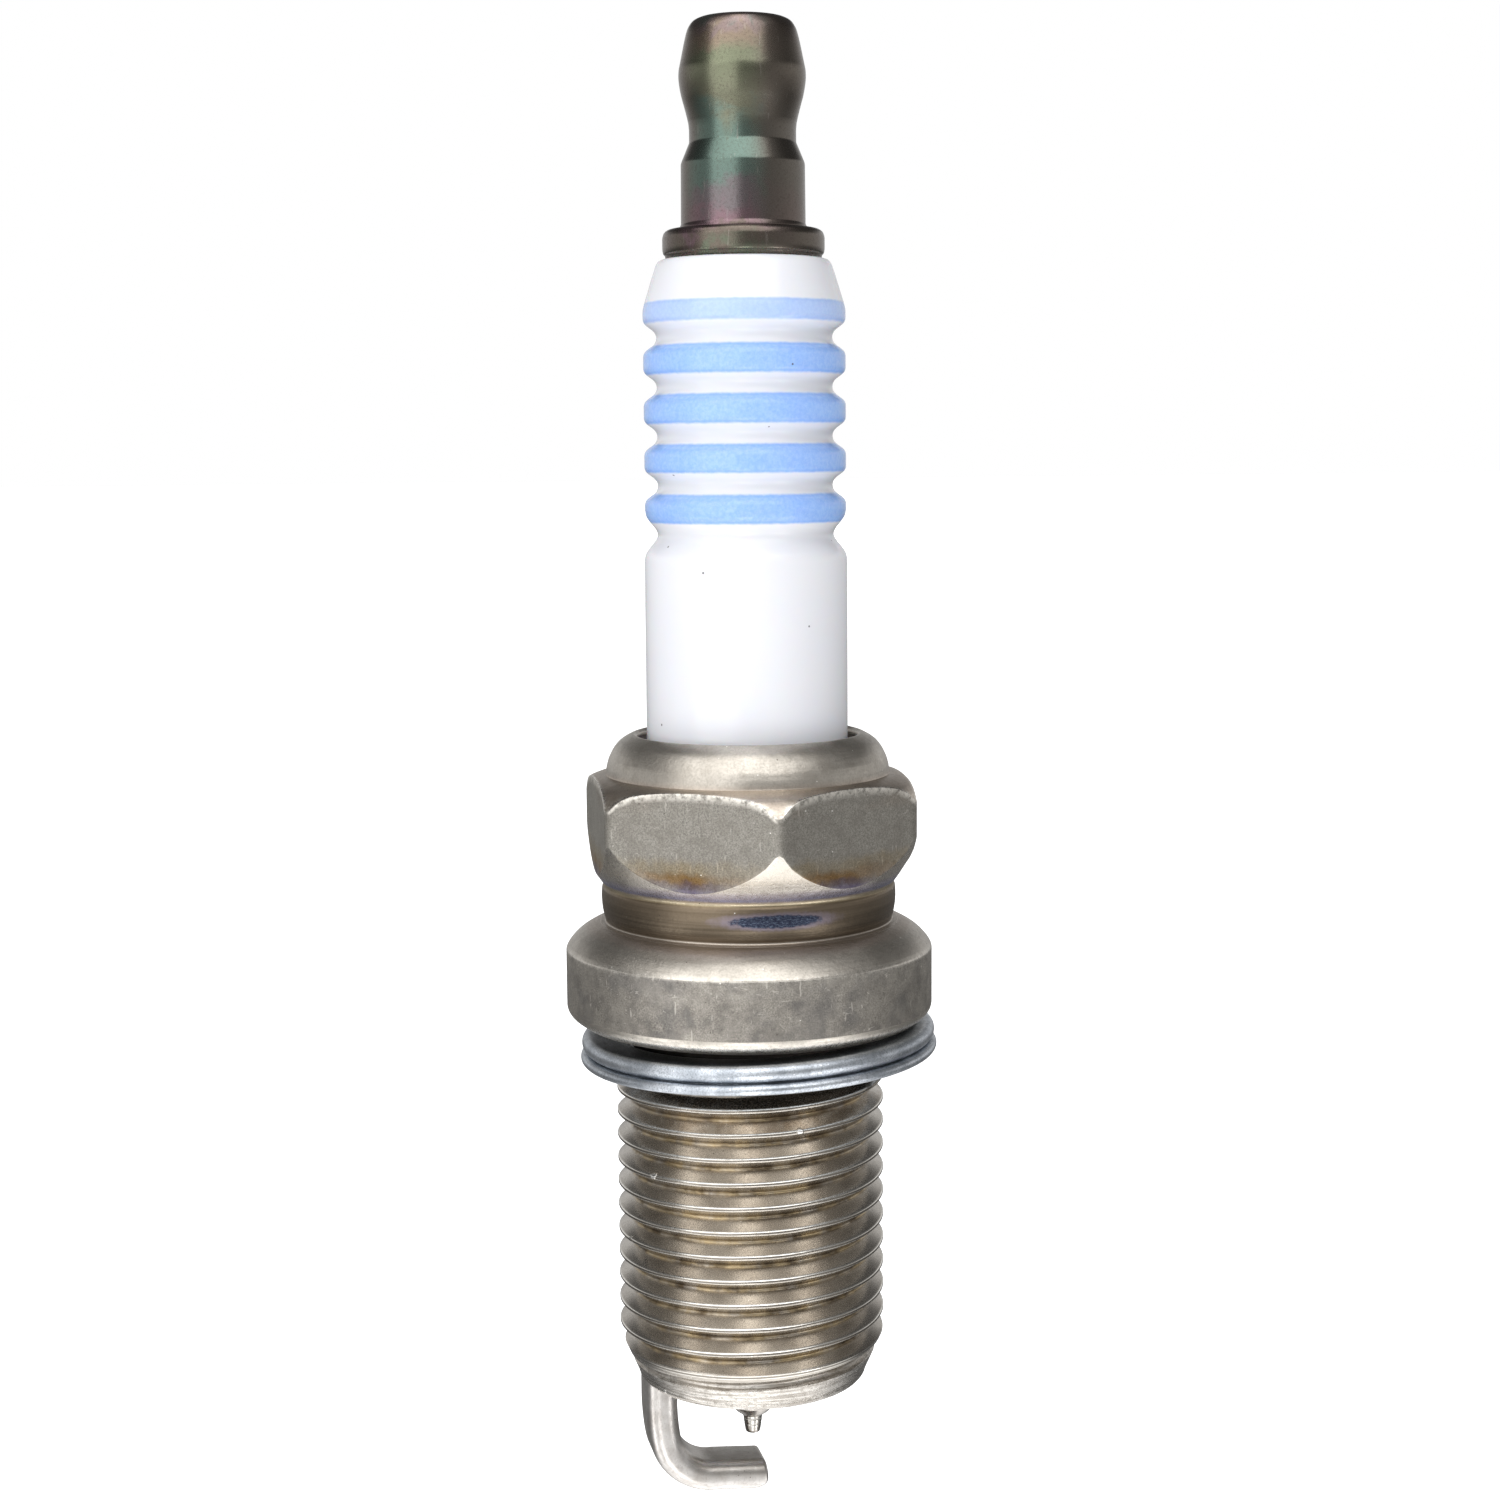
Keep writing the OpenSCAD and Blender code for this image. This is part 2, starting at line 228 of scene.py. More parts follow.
# ---------------------------------------------------------------- shader nodes


class Nodes:
    """A short hand for wiring a material's nodes, with lengths in millimetres."""

    def __init__(self, name: str) -> None:
        """Starts an empty material.

        Args:
            name: Name of the material.
        """
        self.material = bpy.data.materials.new(name)
        self.material.use_nodes = True
        self.tree = self.material.node_tree
        self.tree.nodes.clear()
        self.out = self.tree.nodes.new("ShaderNodeOutputMaterial")
        self.coords = self.tree.nodes.new("ShaderNodeTexCoord")
        scale = self.tree.nodes.new("ShaderNodeVectorMath")
        scale.operation = "SCALE"
        scale.inputs["Scale"].default_value = 1.0 / MM
        self.link(self.coords.outputs["Object"], scale.inputs[0])
        self.place = scale.outputs[0]
        split = self.tree.nodes.new("ShaderNodeSeparateXYZ")
        self.link(self.place, split.inputs[0])
        self.x, self.y, self.z = split.outputs

    def link(self, a: Socket, b: Socket) -> None:
        """Joins two sockets."""
        self.tree.links.new(a, b)

    def feed(self, socket: Socket, value: object) -> None:
        """Links or sets one input.

        Args:
            socket: The input.
            value: A socket to link, or a constant to set.
        """
        if isinstance(value, bpy.types.NodeSocket):
            self.link(value, socket)
        elif value is not None:
            socket.default_value = value

    def math(self, op: str, a: object, b: object = None) -> Socket:
        """Adds one arithmetic step.

        Args:
            op: Name of the operation.
            a: First value, a socket or a constant.
            b: Second value, where the operation takes one.

        Returns:
            The step's result.
        """
        node = self.tree.nodes.new("ShaderNodeMath")
        node.operation = op
        for socket, value in zip(node.inputs, (a, b)):
            self.feed(socket, value)
        return node.outputs[0]

    def times(self, a: object, b: object) -> Socket:
        """The product of two values."""
        return self.math("MULTIPLY", a, b)

    def plus(self, a: object, b: object) -> Socket:
        """The sum of two values."""
        return self.math("ADD", a, b)

    def less(self, a: object, b: object) -> Socket:
        """The first value less the second."""
        return self.math("SUBTRACT", a, b)

    def most(self, a: object, b: object) -> Socket:
        """The greater of two values."""
        return self.math("MAXIMUM", a, b)

    def hypot(self, a: object, b: object) -> Socket:
        """Length of the diagonal across two sides."""
        return self.math("SQRT", self.plus(self.times(a, a), self.times(b, b)))

    def span(
        self, value: object, low: float, high: float, a: float = 0.0, b: float = 1.0, smooth: bool = True,
    ) -> Socket:
        """Maps a value's range onto another, held at its ends.

        Args:
            value: The value.
            low: Where its range starts.
            high: Where its range ends.
            a: Result at the start.
            b: Result at the end.
            smooth: Whether it eases in and out.

        Returns:
            The mapped value.
        """
        node = self.tree.nodes.new("ShaderNodeMapRange")
        node.interpolation_type = "SMOOTHSTEP" if smooth else "LINEAR"
        self.feed(node.inputs["Value"], value)
        for key, number in (("From Min", low), ("From Max", high), ("To Min", a), ("To Max", b)):
            node.inputs[key].default_value = number
        return node.outputs[0]

    def band(self, value: object, low: float, high: float, soft: float) -> Socket:
        """One inside a band of a value and nought outside, with soft edges.

        Args:
            value: The value.
            low: Where the band starts.
            high: Where the band ends.
            soft: Half the width of each edge.

        Returns:
            The mask.
        """
        up = self.span(value, low - soft, low + soft)
        down = self.span(value, high - soft, high + soft, 1.0, 0.0)
        return self.times(up, down)

    def stretched(self, x: float, y: float, z: float) -> Socket:
        """The place in millimetres, multiplied along each axis.

        Args:
            x: Factor along x.
            y: Factor along y.
            z: Factor along z.

        Returns:
            The coordinates.
        """
        node = self.tree.nodes.new("ShaderNodeVectorMath")
        node.operation = "MULTIPLY"
        self.link(self.place, node.inputs[0])
        node.inputs[1].default_value = (x, y, z)
        return node.outputs[0]

    def turned(self, round_scale: float, height_scale: float, radius: float = 8.0) -> Socket:
        """Coordinates round the axis, so that a pattern can be drawn out along it or round it.

        Args:
            round_scale: Cells to the millimetre round the axis.
            height_scale: Cells to the millimetre along it.
            radius: Radius at which the first is true.

        Returns:
            The coordinates.
        """
        angle = self.math("ARCTAN2", self.y, self.x)
        node = self.tree.nodes.new("ShaderNodeCombineXYZ")
        self.feed(node.inputs[0], self.times(angle, radius * round_scale))
        self.feed(node.inputs[1], self.times(self.z, height_scale))
        return node.outputs[0]

    def noise(
        self, per_mm: float, detail: float = 3.0, rough: float = 0.5, vector: object = None,
        distort: float = 0.0,
    ) -> Socket:
        """Cloudy noise.

        Args:
            per_mm: Cells to the millimetre.
            detail: Octaves.
            rough: Weight of the finer octaves.
            vector: Coordinates, the place in millimetres if left out.
            distort: How far the clouds are pulled about.

        Returns:
            The noise, from nought to one.
        """
        node = self.tree.nodes.new("ShaderNodeTexNoise")
        settings = {"Scale": per_mm, "Detail": detail, "Roughness": rough, "Distortion": distort}
        for key, number in settings.items():
            node.inputs[key].default_value = number
        self.feed(node.inputs["Vector"], vector or self.place)
        return node.outputs["Fac"]

    def cells(self, per_mm: float, vector: object = None) -> Socket:
        """Distance to scattered points.

        Args:
            per_mm: Points to the millimetre.
            vector: Coordinates, the place in millimetres if left out.

        Returns:
            The distance in cells.
        """
        node = self.tree.nodes.new("ShaderNodeTexVoronoi")
        node.inputs["Scale"].default_value = per_mm
        self.feed(node.inputs["Vector"], vector or self.place)
        return node.outputs["Distance"]

    def flecks(self, per_mm: float, full: float, rim: float, vector: object = None) -> Socket:
        """Scattered round flecks.

        Args:
            per_mm: Flecks to the millimetre.
            full: Radius in cells inside which the mask is one.
            rim: Radius in cells outside which it is nought.
            vector: Coordinates, the place in millimetres if left out.

        Returns:
            The mask.
        """
        return self.span(self.cells(per_mm, vector), full, rim, 1.0, 0.0)

    def spot(self, bearing: float, radius: float, height: float, size: float) -> Socket:
        """One within a distance of a place on the surface, ragged at its rim.

        Args:
            bearing: Direction of the place from the axis in degrees.
            radius: Its distance from the axis in millimetres.
            height: Its height in millimetres.
            size: Half the spot's width in millimetres.

        Returns:
            The mask.
        """
        node = self.tree.nodes.new("ShaderNodeVectorMath")
        node.operation = "DISTANCE"
        a = math.radians(bearing)
        self.link(self.place, node.inputs[0])
        node.inputs[1].default_value = (radius * math.cos(a), radius * math.sin(a), height)
        ragged = self.plus(node.outputs["Value"], self.times(self.noise(4.0 / size, 2.0), size * 0.5))
        return self.span(ragged, size * 0.95, size * 1.25, 1.0, 0.0)

    def attribute(self, name: str) -> Socket:
        """A number stored on the piece's points.

        Args:
            name: Name it is stored under.

        Returns:
            The number.
        """
        node = self.tree.nodes.new("ShaderNodeAttribute")
        node.attribute_name = name
        return node.outputs["Fac"]

    def mix(self, factor: object, a: object, b: object, mode: str = "MIX") -> Socket:
        """Mixes two colours.

        Args:
            factor: Share of the second.
            a: First colour, a socket or a constant.
            b: Second colour.
            mode: How they mix.

        Returns:
            The colour.
        """
        node = self.tree.nodes.new("ShaderNodeMix")
        node.data_type = "RGBA"
        node.blend_type = mode
        self.feed(node.inputs["Factor"], factor)
        for key, value in ((6, a), (7, b)):
            plain = isinstance(value, tuple) and len(value) == 3
            self.feed(node.inputs[key], (*value, 1.0) if plain else value)
        return node.outputs[2]

    def over(self, base: object, colour: object, mask: object, share: float = 1.0) -> Socket:
        """Lays one colour over another.

        Args:
            base: The colour underneath.
            colour: The colour laid on it.
            mask: Where it is laid.
            share: How far it covers there.

        Returns:
            The colour.
        """
        return self.mix(mask if share == 1.0 else self.times(mask, share), base, colour)

    def tone(self, value: object, low: float, high: float, a: Colour, b: Colour) -> Socket:
        """Runs from one colour to another as a value rises.

        Args:
            value: The value.
            low: Where the first colour ends.
            high: Where the second is reached.
            a: First colour.
            b: Second colour.

        Returns:
            The colour.
        """
        return self.mix(self.span(value, low, high), a, b)

    def ramp(self, factor: object, stops: Sequence[tuple[float, Colour]]) -> Socket:
        """Runs a value through a row of colours.

        Args:
            factor: The value, from nought to one.
            stops: Each colour and where it stands.

        Returns:
            The colour.
        """
        node = self.tree.nodes.new("ShaderNodeValToRGB")
        node.color_ramp.interpolation = "EASE"
        elements = node.color_ramp.elements
        while len(elements) < len(stops):
            elements.new(0.5)
        for element, (at, colour) in zip(elements, stops):
            element.position = at
            element.color = (*colour, 1.0)
        self.feed(node.inputs["Fac"], factor)
        return node.outputs["Color"]

    def bump(self, height: object, depth_mm: float, strength: float = 1.0, normal: object = None) -> Socket:
        """Raises the surface by a height pattern.

        Args:
            height: The pattern, from nought to one.
            depth_mm: Its full depth in millimetres.
            strength: Share of it that shows.
            normal: The surface it is laid on, where it isn't the plain one.

        Returns:
            The surface's direction.
        """
        node = self.tree.nodes.new("ShaderNodeBump")
        node.inputs["Strength"].default_value = strength
        node.inputs["Distance"].default_value = depth_mm * MM
        self.feed(node.inputs["Height"], height)
        self.feed(node.inputs["Normal"], normal)
        return node.outputs["Normal"]

    def surface(self, **values: object) -> bpy.types.Material:
        """Ends the material in one principled shader.

        Args:
            **values: Input names with underscores for spaces, and a socket or a constant for each.

        Returns:
            The finished material.
        """
        node = self.tree.nodes.new("ShaderNodeBsdfPrincipled")
        for key, value in values.items():
            self.feed(node.inputs[key.replace("_", " ")], value)
        self.link(node.outputs[0], self.out.inputs["Surface"])
        return self.material


# ---------------------------------------------------------------- finishes


class Zone(Enum):
    """Where on the shell a finish is laid."""

    BODY = "body"
    THREAD = "thread"


@dataclass(frozen=True)
class PlatedShell:
    """Dull nickel plating with rubbed edges, a barrelled grain and heat colours under the hexagon. It also
    carries painted shade under the flange, in the thread's roots and in a notch, and a painted reflection of
    the floor on the flange's lower chamfer.

    Attributes:
        zone: The stretch of the shell it is for.
        colour: The plating's own colour.
        roughness: How dull it is on the smooth turned faces.
    """

    zone: Zone
    colour: Colour = (0.59, 0.55, 0.49)
    roughness: float = 0.32

    def make(self) -> bpy.types.Material:
        """Builds the material for this zone."""
        n = Nodes("plated_shell_" + self.zone.value)
        return self._body(n) if self.zone is Zone.BODY else self._thread(n)

    def _grain(self, n: Nodes) -> tuple[Socket, Socket]:
        """Fine grain and broad clouds shared by both zones, each from nought to one."""
        return n.noise(9.0, 4.0, 0.62), n.noise(0.55, 3.0, 0.55)

    def _dull(self, n: Nodes, base: Socket, flat: Socket, worn: Socket, speckle: Socket) -> Socket:
        """Lays the dull, pitted look over the hexagon's faces and the flange's side.

        Args:
            n: The nodes being wired.
            base: Colour of the turned faces.
            flat: Mask of the hexagon's faces.
            worn: Mask of the flange's worn side.
            speckle: The finest grain.

        Returns:
            The colour of all three.
        """
        clouds, pores = n.noise(1.3, 4.0, 0.65), n.flecks(3.2, 0.10, 0.20)
        matte = n.tone(speckle, 0.36, 0.64, (0.19, 0.18, 0.16), (0.355, 0.34, 0.305))
        matte = n.over(matte, (0.19, 0.175, 0.155), n.span(clouds, 0.42, 0.68), 0.5)
        matte = n.over(matte, (0.12, 0.11, 0.095), pores, 0.45)
        scuffed = n.tone(speckle, 0.36, 0.64, (0.20, 0.185, 0.165), (0.40, 0.375, 0.335))
        scuffed = n.over(scuffed, (0.17, 0.158, 0.145), n.span(clouds, 0.40, 0.66), 0.65)
        scuffed = n.over(scuffed, (0.11, 0.10, 0.09), pores, 0.5)
        stains = n.span(n.noise(0.42, 3.0, 0.6), 0.48, 0.62)
        scuffed = n.over(scuffed, (0.155, 0.15, 0.148), stains, 0.45)
        return n.mix(worn, n.over(base, matte, flat, 0.90), scuffed)

    def _body(self, n: Nodes) -> bpy.types.Material:
        """The lip, hexagon, neck and flange.

        Args:
            n: The nodes being wired.

        Returns:
            The finished material.
        """
        fine, broad = self._grain(n)
        flat, edge, side = n.attribute("flat"), n.attribute("edge"), n.attribute("side")
        speckle = n.noise(13.0, 5.0, 0.72)
        base = n.tone(broad, 0.3, 0.7, self.colour, (0.47, 0.435, 0.385))
        base = n.over(base, (0.33, 0.305, 0.265), n.span(fine, 0.4, 0.7), 0.40)
        streaks = n.noise(1.0, 3.0, 0.6, n.turned(0.25, 7.0))
        base = n.over(base, (0.26, 0.235, 0.20), n.span(streaks, 0.52, 0.70), 0.16)
        worn = n.times(side, n.span(n.noise(0.8, 3.0, 0.6), 0.2, 0.7, 0.6, 1.0))
        base = self._dull(n, base, flat, worn, speckle)
        hair = n.span(n.noise(1.0, 2.0, 0.5, n.turned(5.5, 0.7)), 0.67, 0.72)
        slant = n.span(n.noise(1.0, 2.0, 0.5, n.stretched(1.0, 5.0, 6.0), 1.2), 0.68, 0.73)
        marks = n.times(n.most(hair, slant), n.most(side, n.times(flat, 0.6)))
        base = n.over(base, (0.72, 0.68, 0.62), marks, 0.45)
        turned = n.less(1.0, flat)
        cone = n.times(n.band(n.z, 7.3, 9.9, 0.12), turned)
        base = n.over(base, (0.74, 0.70, 0.635), cone, 0.82)
        mottle = n.times(n.span(n.noise(1.3, 4.0, 0.65), 0.46, 0.66), n.span(n.z, 4.0, 5.0, 0.0, 0.30))
        base = n.over(base, (0.33, 0.295, 0.25), n.times(mottle, turned))
        base = self._scorch(n, self._heat(n, base, flat))
        # rubbed edges are wear; on the flange's lower chamfer this mask also lays a painted reflection of the
        # floor
        rubbed = n.times(edge, n.span(n.noise(3.5, 4.0, 0.65), 0.32, 0.60))
        base = n.over(base, (0.82, 0.78, 0.71), rubbed)
        base = n.over(base, (0.09, 0.08, 0.065), n.flecks(1.1, 0.030, 0.050), 0.8)
        # painted shadow: the relief neck from the seat down to where the gasket covers it is darkened to
        # stand in for the shade in the gap under the flange
        gap = n.times(n.span(n.z, 0.0, 0.05, 0.85, 0.0), n.span(n.z, -2.1, -1.6))
        base = n.over(base, (0.06, 0.054, 0.048), gap)
        glint = n.flecks(0.95, 0.026, 0.042, n.stretched(1.0, 1.0, 1.3))
        base = n.over(base, (0.97, 0.95, 0.90), glint)
        rough = n.span(fine, 0.2, 0.8, self.roughness - 0.02, self.roughness + 0.14)
        rough = n.plus(rough, n.times(n.most(flat, worn), 0.18))
        rough = n.less(rough, n.times(n.most(edge, n.times(cone, 0.6)), 0.15))
        normal = n.bump(n.noise(1.0, 4.0, 0.6, n.turned(0.06, 9.0)), 0.012, 0.35)
        normal = n.bump(n.noise(2.6, 5.0, 0.65), 0.035, 0.40, normal)
        normal = n.bump(fine, 0.012, 0.45, normal)
        normal = n.bump(n.times(speckle, n.most(flat, worn)), 0.020, 0.7, normal)
        normal = n.bump(n.most(marks, glint), 0.010, 0.6, normal)
        return n.surface(Base_Color=base, Metallic=1.0, Roughness=rough, Normal=normal)

    def _heat(self, n: Nodes, base: Socket, flat: Socket) -> Socket:
        """Heat colours round the shrunk neck: straw, brown, purple and blue.

        Args:
            n: The nodes being wired.
            base: Colour of the plating.
            flat: Mask of the hexagon's faces.

        Returns:
            The coloured plating.
        """
        warp = n.less(n.noise(1.4, 3.0, 0.6), 0.5)
        ragged = n.plus(n.z, n.times(warp, n.span(n.z, 7.6, 8.3, 0.10, 0.85)))
        tint = n.ramp(n.span(ragged, 6.9, 9.7, smooth=False), [
            (0.05, (0.90, 0.78, 0.50)), (0.12, (1.0, 0.92, 0.74)), (0.185, (0.47, 0.50, 0.82)),
            (0.27, (0.74, 0.74, 0.96)), (0.33, (0.70, 0.66, 0.88)), (0.42, (0.46, 0.34, 0.38)),
            (0.55, (0.74, 0.47, 0.21)), (0.74, (0.93, 0.83, 0.66)), (0.97, (1.0, 1.0, 1.0)),
        ])
        flat = n.times(flat, n.span(n.noise(0.33, 2.0, 0.5), 0.36, 0.60, 0.50, 1.0))
        deep = n.times(flat, n.span(n.z, 7.80, 8.15, 1.0, 0.0))
        tint = n.mix(deep, tint, n.mix(1.0, tint, (0.58, 0.52, 0.78), "MULTIPLY"))
        low = n.span(n.z, 7.60, 7.95, 0.90, 0.12)
        reach = n.times(n.band(n.z, 7.02, 9.7, 0.06), n.most(n.times(flat, 0.95), low))
        base = n.mix(reach, base, n.mix(1.0, base, tint, "MULTIPLY"))
        above = n.times(n.band(n.z, 11.6, 12.9, 0.25), n.less(1.0, flat))
        base = n.over(base, n.mix(1.0, base, (0.92, 0.80, 0.72), "MULTIPLY"), above, 0.6)
        rings = n.noise(1.0, 3.0, 0.6, n.turned(0.05, 4.5))
        straw = n.tone(rings, 0.35, 0.65, (0.092, 0.070, 0.047), (0.165, 0.130, 0.092))
        straw = n.over(straw, (0.215, 0.162, 0.105), n.span(n.z, 5.4, 7.0, 0.0, 0.40))
        base = n.over(base, straw, n.band(n.z, 5.28, 7.12, 0.07), 0.95)
        return n.over(base, (0.40, 0.32, 0.26), n.band(n.z, 4.85, 5.25, 0.15), 0.5)

    def _scorch(self, n: Nodes, base: Socket) -> Socket:
        """The oval scorch mark on the neck.

        Args:
            n: The nodes being wired.
            base: Colour of the neck.

        Returns:
            The neck's colour with the mark.
        """
        bearing, height, neck_r, half_length, half_height = -91.0, 6.36, 7.55, 2.45, 0.34
        angle = n.plus(n.math("ARCTAN2", n.y, n.x), math.radians(-bearing))
        across = n.times(angle, neck_r / half_length)
        along = n.times(n.less(n.z, height), 1.0 / half_height)
        spread = n.plus(n.hypot(across, along), n.times(n.less(n.noise(3.5, 4.0, 0.6), 0.5), 0.6))
        threads = n.noise(1.0, 5.0, 0.75, n.turned(5.0, 20.0))
        blue = n.tone(threads, 0.46, 0.72, (0.024, 0.032, 0.060), (0.21, 0.27, 0.37))
        halo = n.over(base, (0.30, 0.26, 0.33), n.span(spread, 0.9, 1.6, 0.6, 0.0))
        return n.over(halo, blue, n.span(spread, 0.78, 1.08, 0.95, 0.0))

    def _thread(self, n: Nodes) -> bpy.types.Material:
        """The threaded shank, bright on the two edges of its crests and browned in its roots, partly rust and
        partly painted shade.

        Args:
            n: The nodes being wired.

        Returns:
            The finished material.
        """
        fine, broad = self._grain(n)
        across = n.attribute("across")
        base = n.tone(broad, 0.3, 0.7, (0.57, 0.53, 0.475), (0.46, 0.42, 0.37))
        base = n.over(base, (0.28, 0.25, 0.215), n.span(fine, 0.4, 0.75), 0.18)
        # the roots are browned: partly rust, partly painted shade under each crest
        root_stain_and_shade = n.times(n.span(across, 0.72, 0.88), n.span(n.noise(0.9, 4.0, 0.6), 0.3, 0.6, 0.45, 1.0))
        root_stain_and_shade = n.times(root_stain_and_shade, n.span(n.z, -3.6, -3.0, 1.0, 0.3))
        rust = n.noise(1.0, 4.0, 0.6, n.turned(0.55, 1.5))
        base = n.mix(root_stain_and_shade, base, n.tone(rust, 0.36, 0.64, (0.12, 0.088, 0.055), (0.46, 0.36, 0.215)))
        first = n.times(n.span(n.z, -5.4, -3.2), n.span(n.noise(1.6, 4.0, 0.65), 0.40, 0.60))
        base = n.over(base, (0.27, 0.20, 0.13), first, 0.45)
        base = n.over(base, (0.20, 0.18, 0.155), n.span(across, 0.06, 0.095, 1.0, 0.0), 0.75)
        patchy = n.span(n.noise(2.6, 4.0, 0.65), 0.32, 0.52, 0.40, 1.0)
        rubbed = n.times(n.band(across, 0.095, 0.17, 0.02), patchy)
        base = n.over(base, (0.90, 0.87, 0.81), rubbed)
        end = n.times(n.span(n.z, -17.7, -17.0, 1.0, 0.0), 0.85)
        machined = n.noise(1.0, 5.0, 0.7, n.turned(0.22, 8.0))
        bright = n.tone(machined, 0.36, 0.62, (0.80, 0.77, 0.725), (0.36, 0.33, 0.295))
        bright = n.over(bright, (0.27, 0.245, 0.21), n.span(n.noise(3.0, 5.0, 0.7), 0.50, 0.62), 0.55)
        base = n.mix(end, base, bright)
        base = n.over(base, (0.10, 0.085, 0.07), n.flecks(1.3, 0.035, 0.06), 0.75)
        nicks = n.most(n.spot(-81.0, 6.88, -4.42, 0.20), n.spot(-147.5, 6.85, -7.10, 0.22))
        nicks = n.most(nicks, n.spot(-151.0, 5.9, -18.75, 0.16))
        glint = n.flecks(1.0, 0.024, 0.040, n.stretched(1.0, 1.0, 1.4))
        base = n.over(base, (0.95, 0.93, 0.89), n.most(nicks, glint))
        # painted shade: a near-black spot in the notch on the crest stands in for the shade inside it
        notch = n.spot(-166.0, 6.75, -11.15, 0.34)
        base = n.over(base, (0.03, 0.028, 0.025), notch)
        rough = n.plus(n.span(fine, 0.2, 0.8, 0.19, 0.32), n.times(root_stain_and_shade, 0.12))
        rough = n.less(rough, n.times(rubbed, 0.06))
        normal = n.bump(n.noise(1.0, 5.0, 0.65, n.turned(0.12, 11.0)), 0.012, 0.30)
        normal = n.bump(n.times(machined, end), 0.050, 0.8, normal)
        normal = n.bump(n.noise(5.0, 5.0, 0.7), 0.012, 0.25, normal)
        normal = n.bump(n.plus(nicks, notch), 0.080, 0.8, normal)
        return n.surface(Base_Color=base, Metallic=1.0, Roughness=rough, Normal=normal)


@dataclass(frozen=True)
class ZincPlate:
    """Bright bluish zinc on rolled sheet steel, with a fine grain and a painted shadow on its inner top under
    the flange.

    Attributes:
        colour: The plating's colour.
    """

    colour: Colour = (0.70, 0.74, 0.79)

    def make(self) -> bpy.types.Material:
        """Builds the material.

        Returns:
            The finished material.
        """
        n = Nodes("zinc_plate")
        grain = n.noise(11.0, 5.0, 0.75)
        base = n.tone(n.noise(0.8, 3.0, 0.6), 0.3, 0.7, self.colour, (0.44, 0.475, 0.52))
        base = n.over(base, (0.21, 0.235, 0.265), n.span(grain, 0.44, 0.64), 0.65)
        base = n.over(base, (0.92, 0.94, 0.97), n.flecks(2.2, 0.06, 0.11), 0.8)
        # painted shadow: the inner top of the ring, under the flange, is darkened to stand in for the shade
        # in the gap
        inner = n.times(n.span(n.hypot(n.x, n.y), 8.1, 8.8, 1.0, 0.0), n.span(n.z, -1.3, -1.1))
        base = n.over(base, (0.10, 0.10, 0.102), inner, 0.6)
        rough = n.span(grain, 0.25, 0.75, 0.26, 0.44)
        normal = n.bump(grain, 0.022, 0.55)
        normal = n.bump(n.noise(1.0, 4.0, 0.6, n.turned(0.05, 9.0)), 0.010, 0.35, normal)
        return n.surface(Base_Color=base, Metallic=1.0, Roughness=rough, Normal=normal)


@dataclass(frozen=True)
class BlackNickel:
    """Dark bronze-black plating with a thin film that shows green, purple and pink, laid as a painted
    reflection on the side that faces the key light and on the back.

    Attributes:
        dark: Colour of the plating's depth.
    """

    dark: Colour = (0.150, 0.125, 0.108)

    def _film(self, n: Nodes) -> Socket:
        """The film's colours, which change along the terminal in ragged belts.

        Args:
            n: The nodes being wired.

        Returns:
            The colour.
        """
        patch = n.noise(0.55, 4.0, 0.6, n.stretched(1.0, 1.0, 0.9), 0.5)
        where = n.plus(n.z, n.times(n.less(patch, 0.5), 4.5))
        return n.ramp(n.span(where, 38.6, 50.6, smooth=False), [
            (0.0, (0.12, 0.14, 0.10)), (0.08, (0.14, 0.115, 0.095)), (0.15, (0.22, 0.14, 0.165)),
            (0.24, (0.17, 0.15, 0.16)), (0.33, (0.125, 0.19, 0.165)), (0.52, (0.13, 0.20, 0.17)),
            (0.66, (0.175, 0.18, 0.125)), (0.80, (0.18, 0.20, 0.13)), (0.90, (0.25, 0.195, 0.145)),
            (0.95, (0.25, 0.19, 0.18)), (1.0, (0.18, 0.20, 0.18)),
        ])

    def make(self) -> bpy.types.Material:
        """Builds the material.

        Returns:
            The finished material.
        """
        n = Nodes("black_nickel")
        grain = n.noise(8.0, 5.0, 0.7)
        # painted reflection: the film's colours show only where the surface faces the key light, and on the
        # back; elsewhere the plating keeps its dark base
        facing = n.plus(n.times(n.x, -0.53), n.times(n.y, -0.85))
        turned = n.math("DIVIDE", facing, n.most(n.hypot(n.x, n.y), 0.5))
        painted_key_reflection = n.most(n.span(turned, 0.66, 0.97, 0.10, 0.85), n.span(turned, -0.30, -0.75, 0.0, 0.80))
        base = n.mix(painted_key_reflection, self.dark, self._film(n))
        base = n.over(base, (0.07, 0.055, 0.045), n.span(grain, 0.48, 0.72), 0.45)
        scratches = n.span(n.noise(1.0, 2.0, 0.5, n.stretched(6.0, 6.0, 0.7)), 0.67, 0.72)
        base = n.over(base, (0.42, 0.38, 0.35), scratches, 0.2)
        rough = n.span(grain, 0.2, 0.8, 0.22, 0.33)
        normal = n.bump(grain, 0.008, 0.40)
        return n.surface(Base_Color=base, Metallic=1.0, Roughness=rough, Normal=normal)


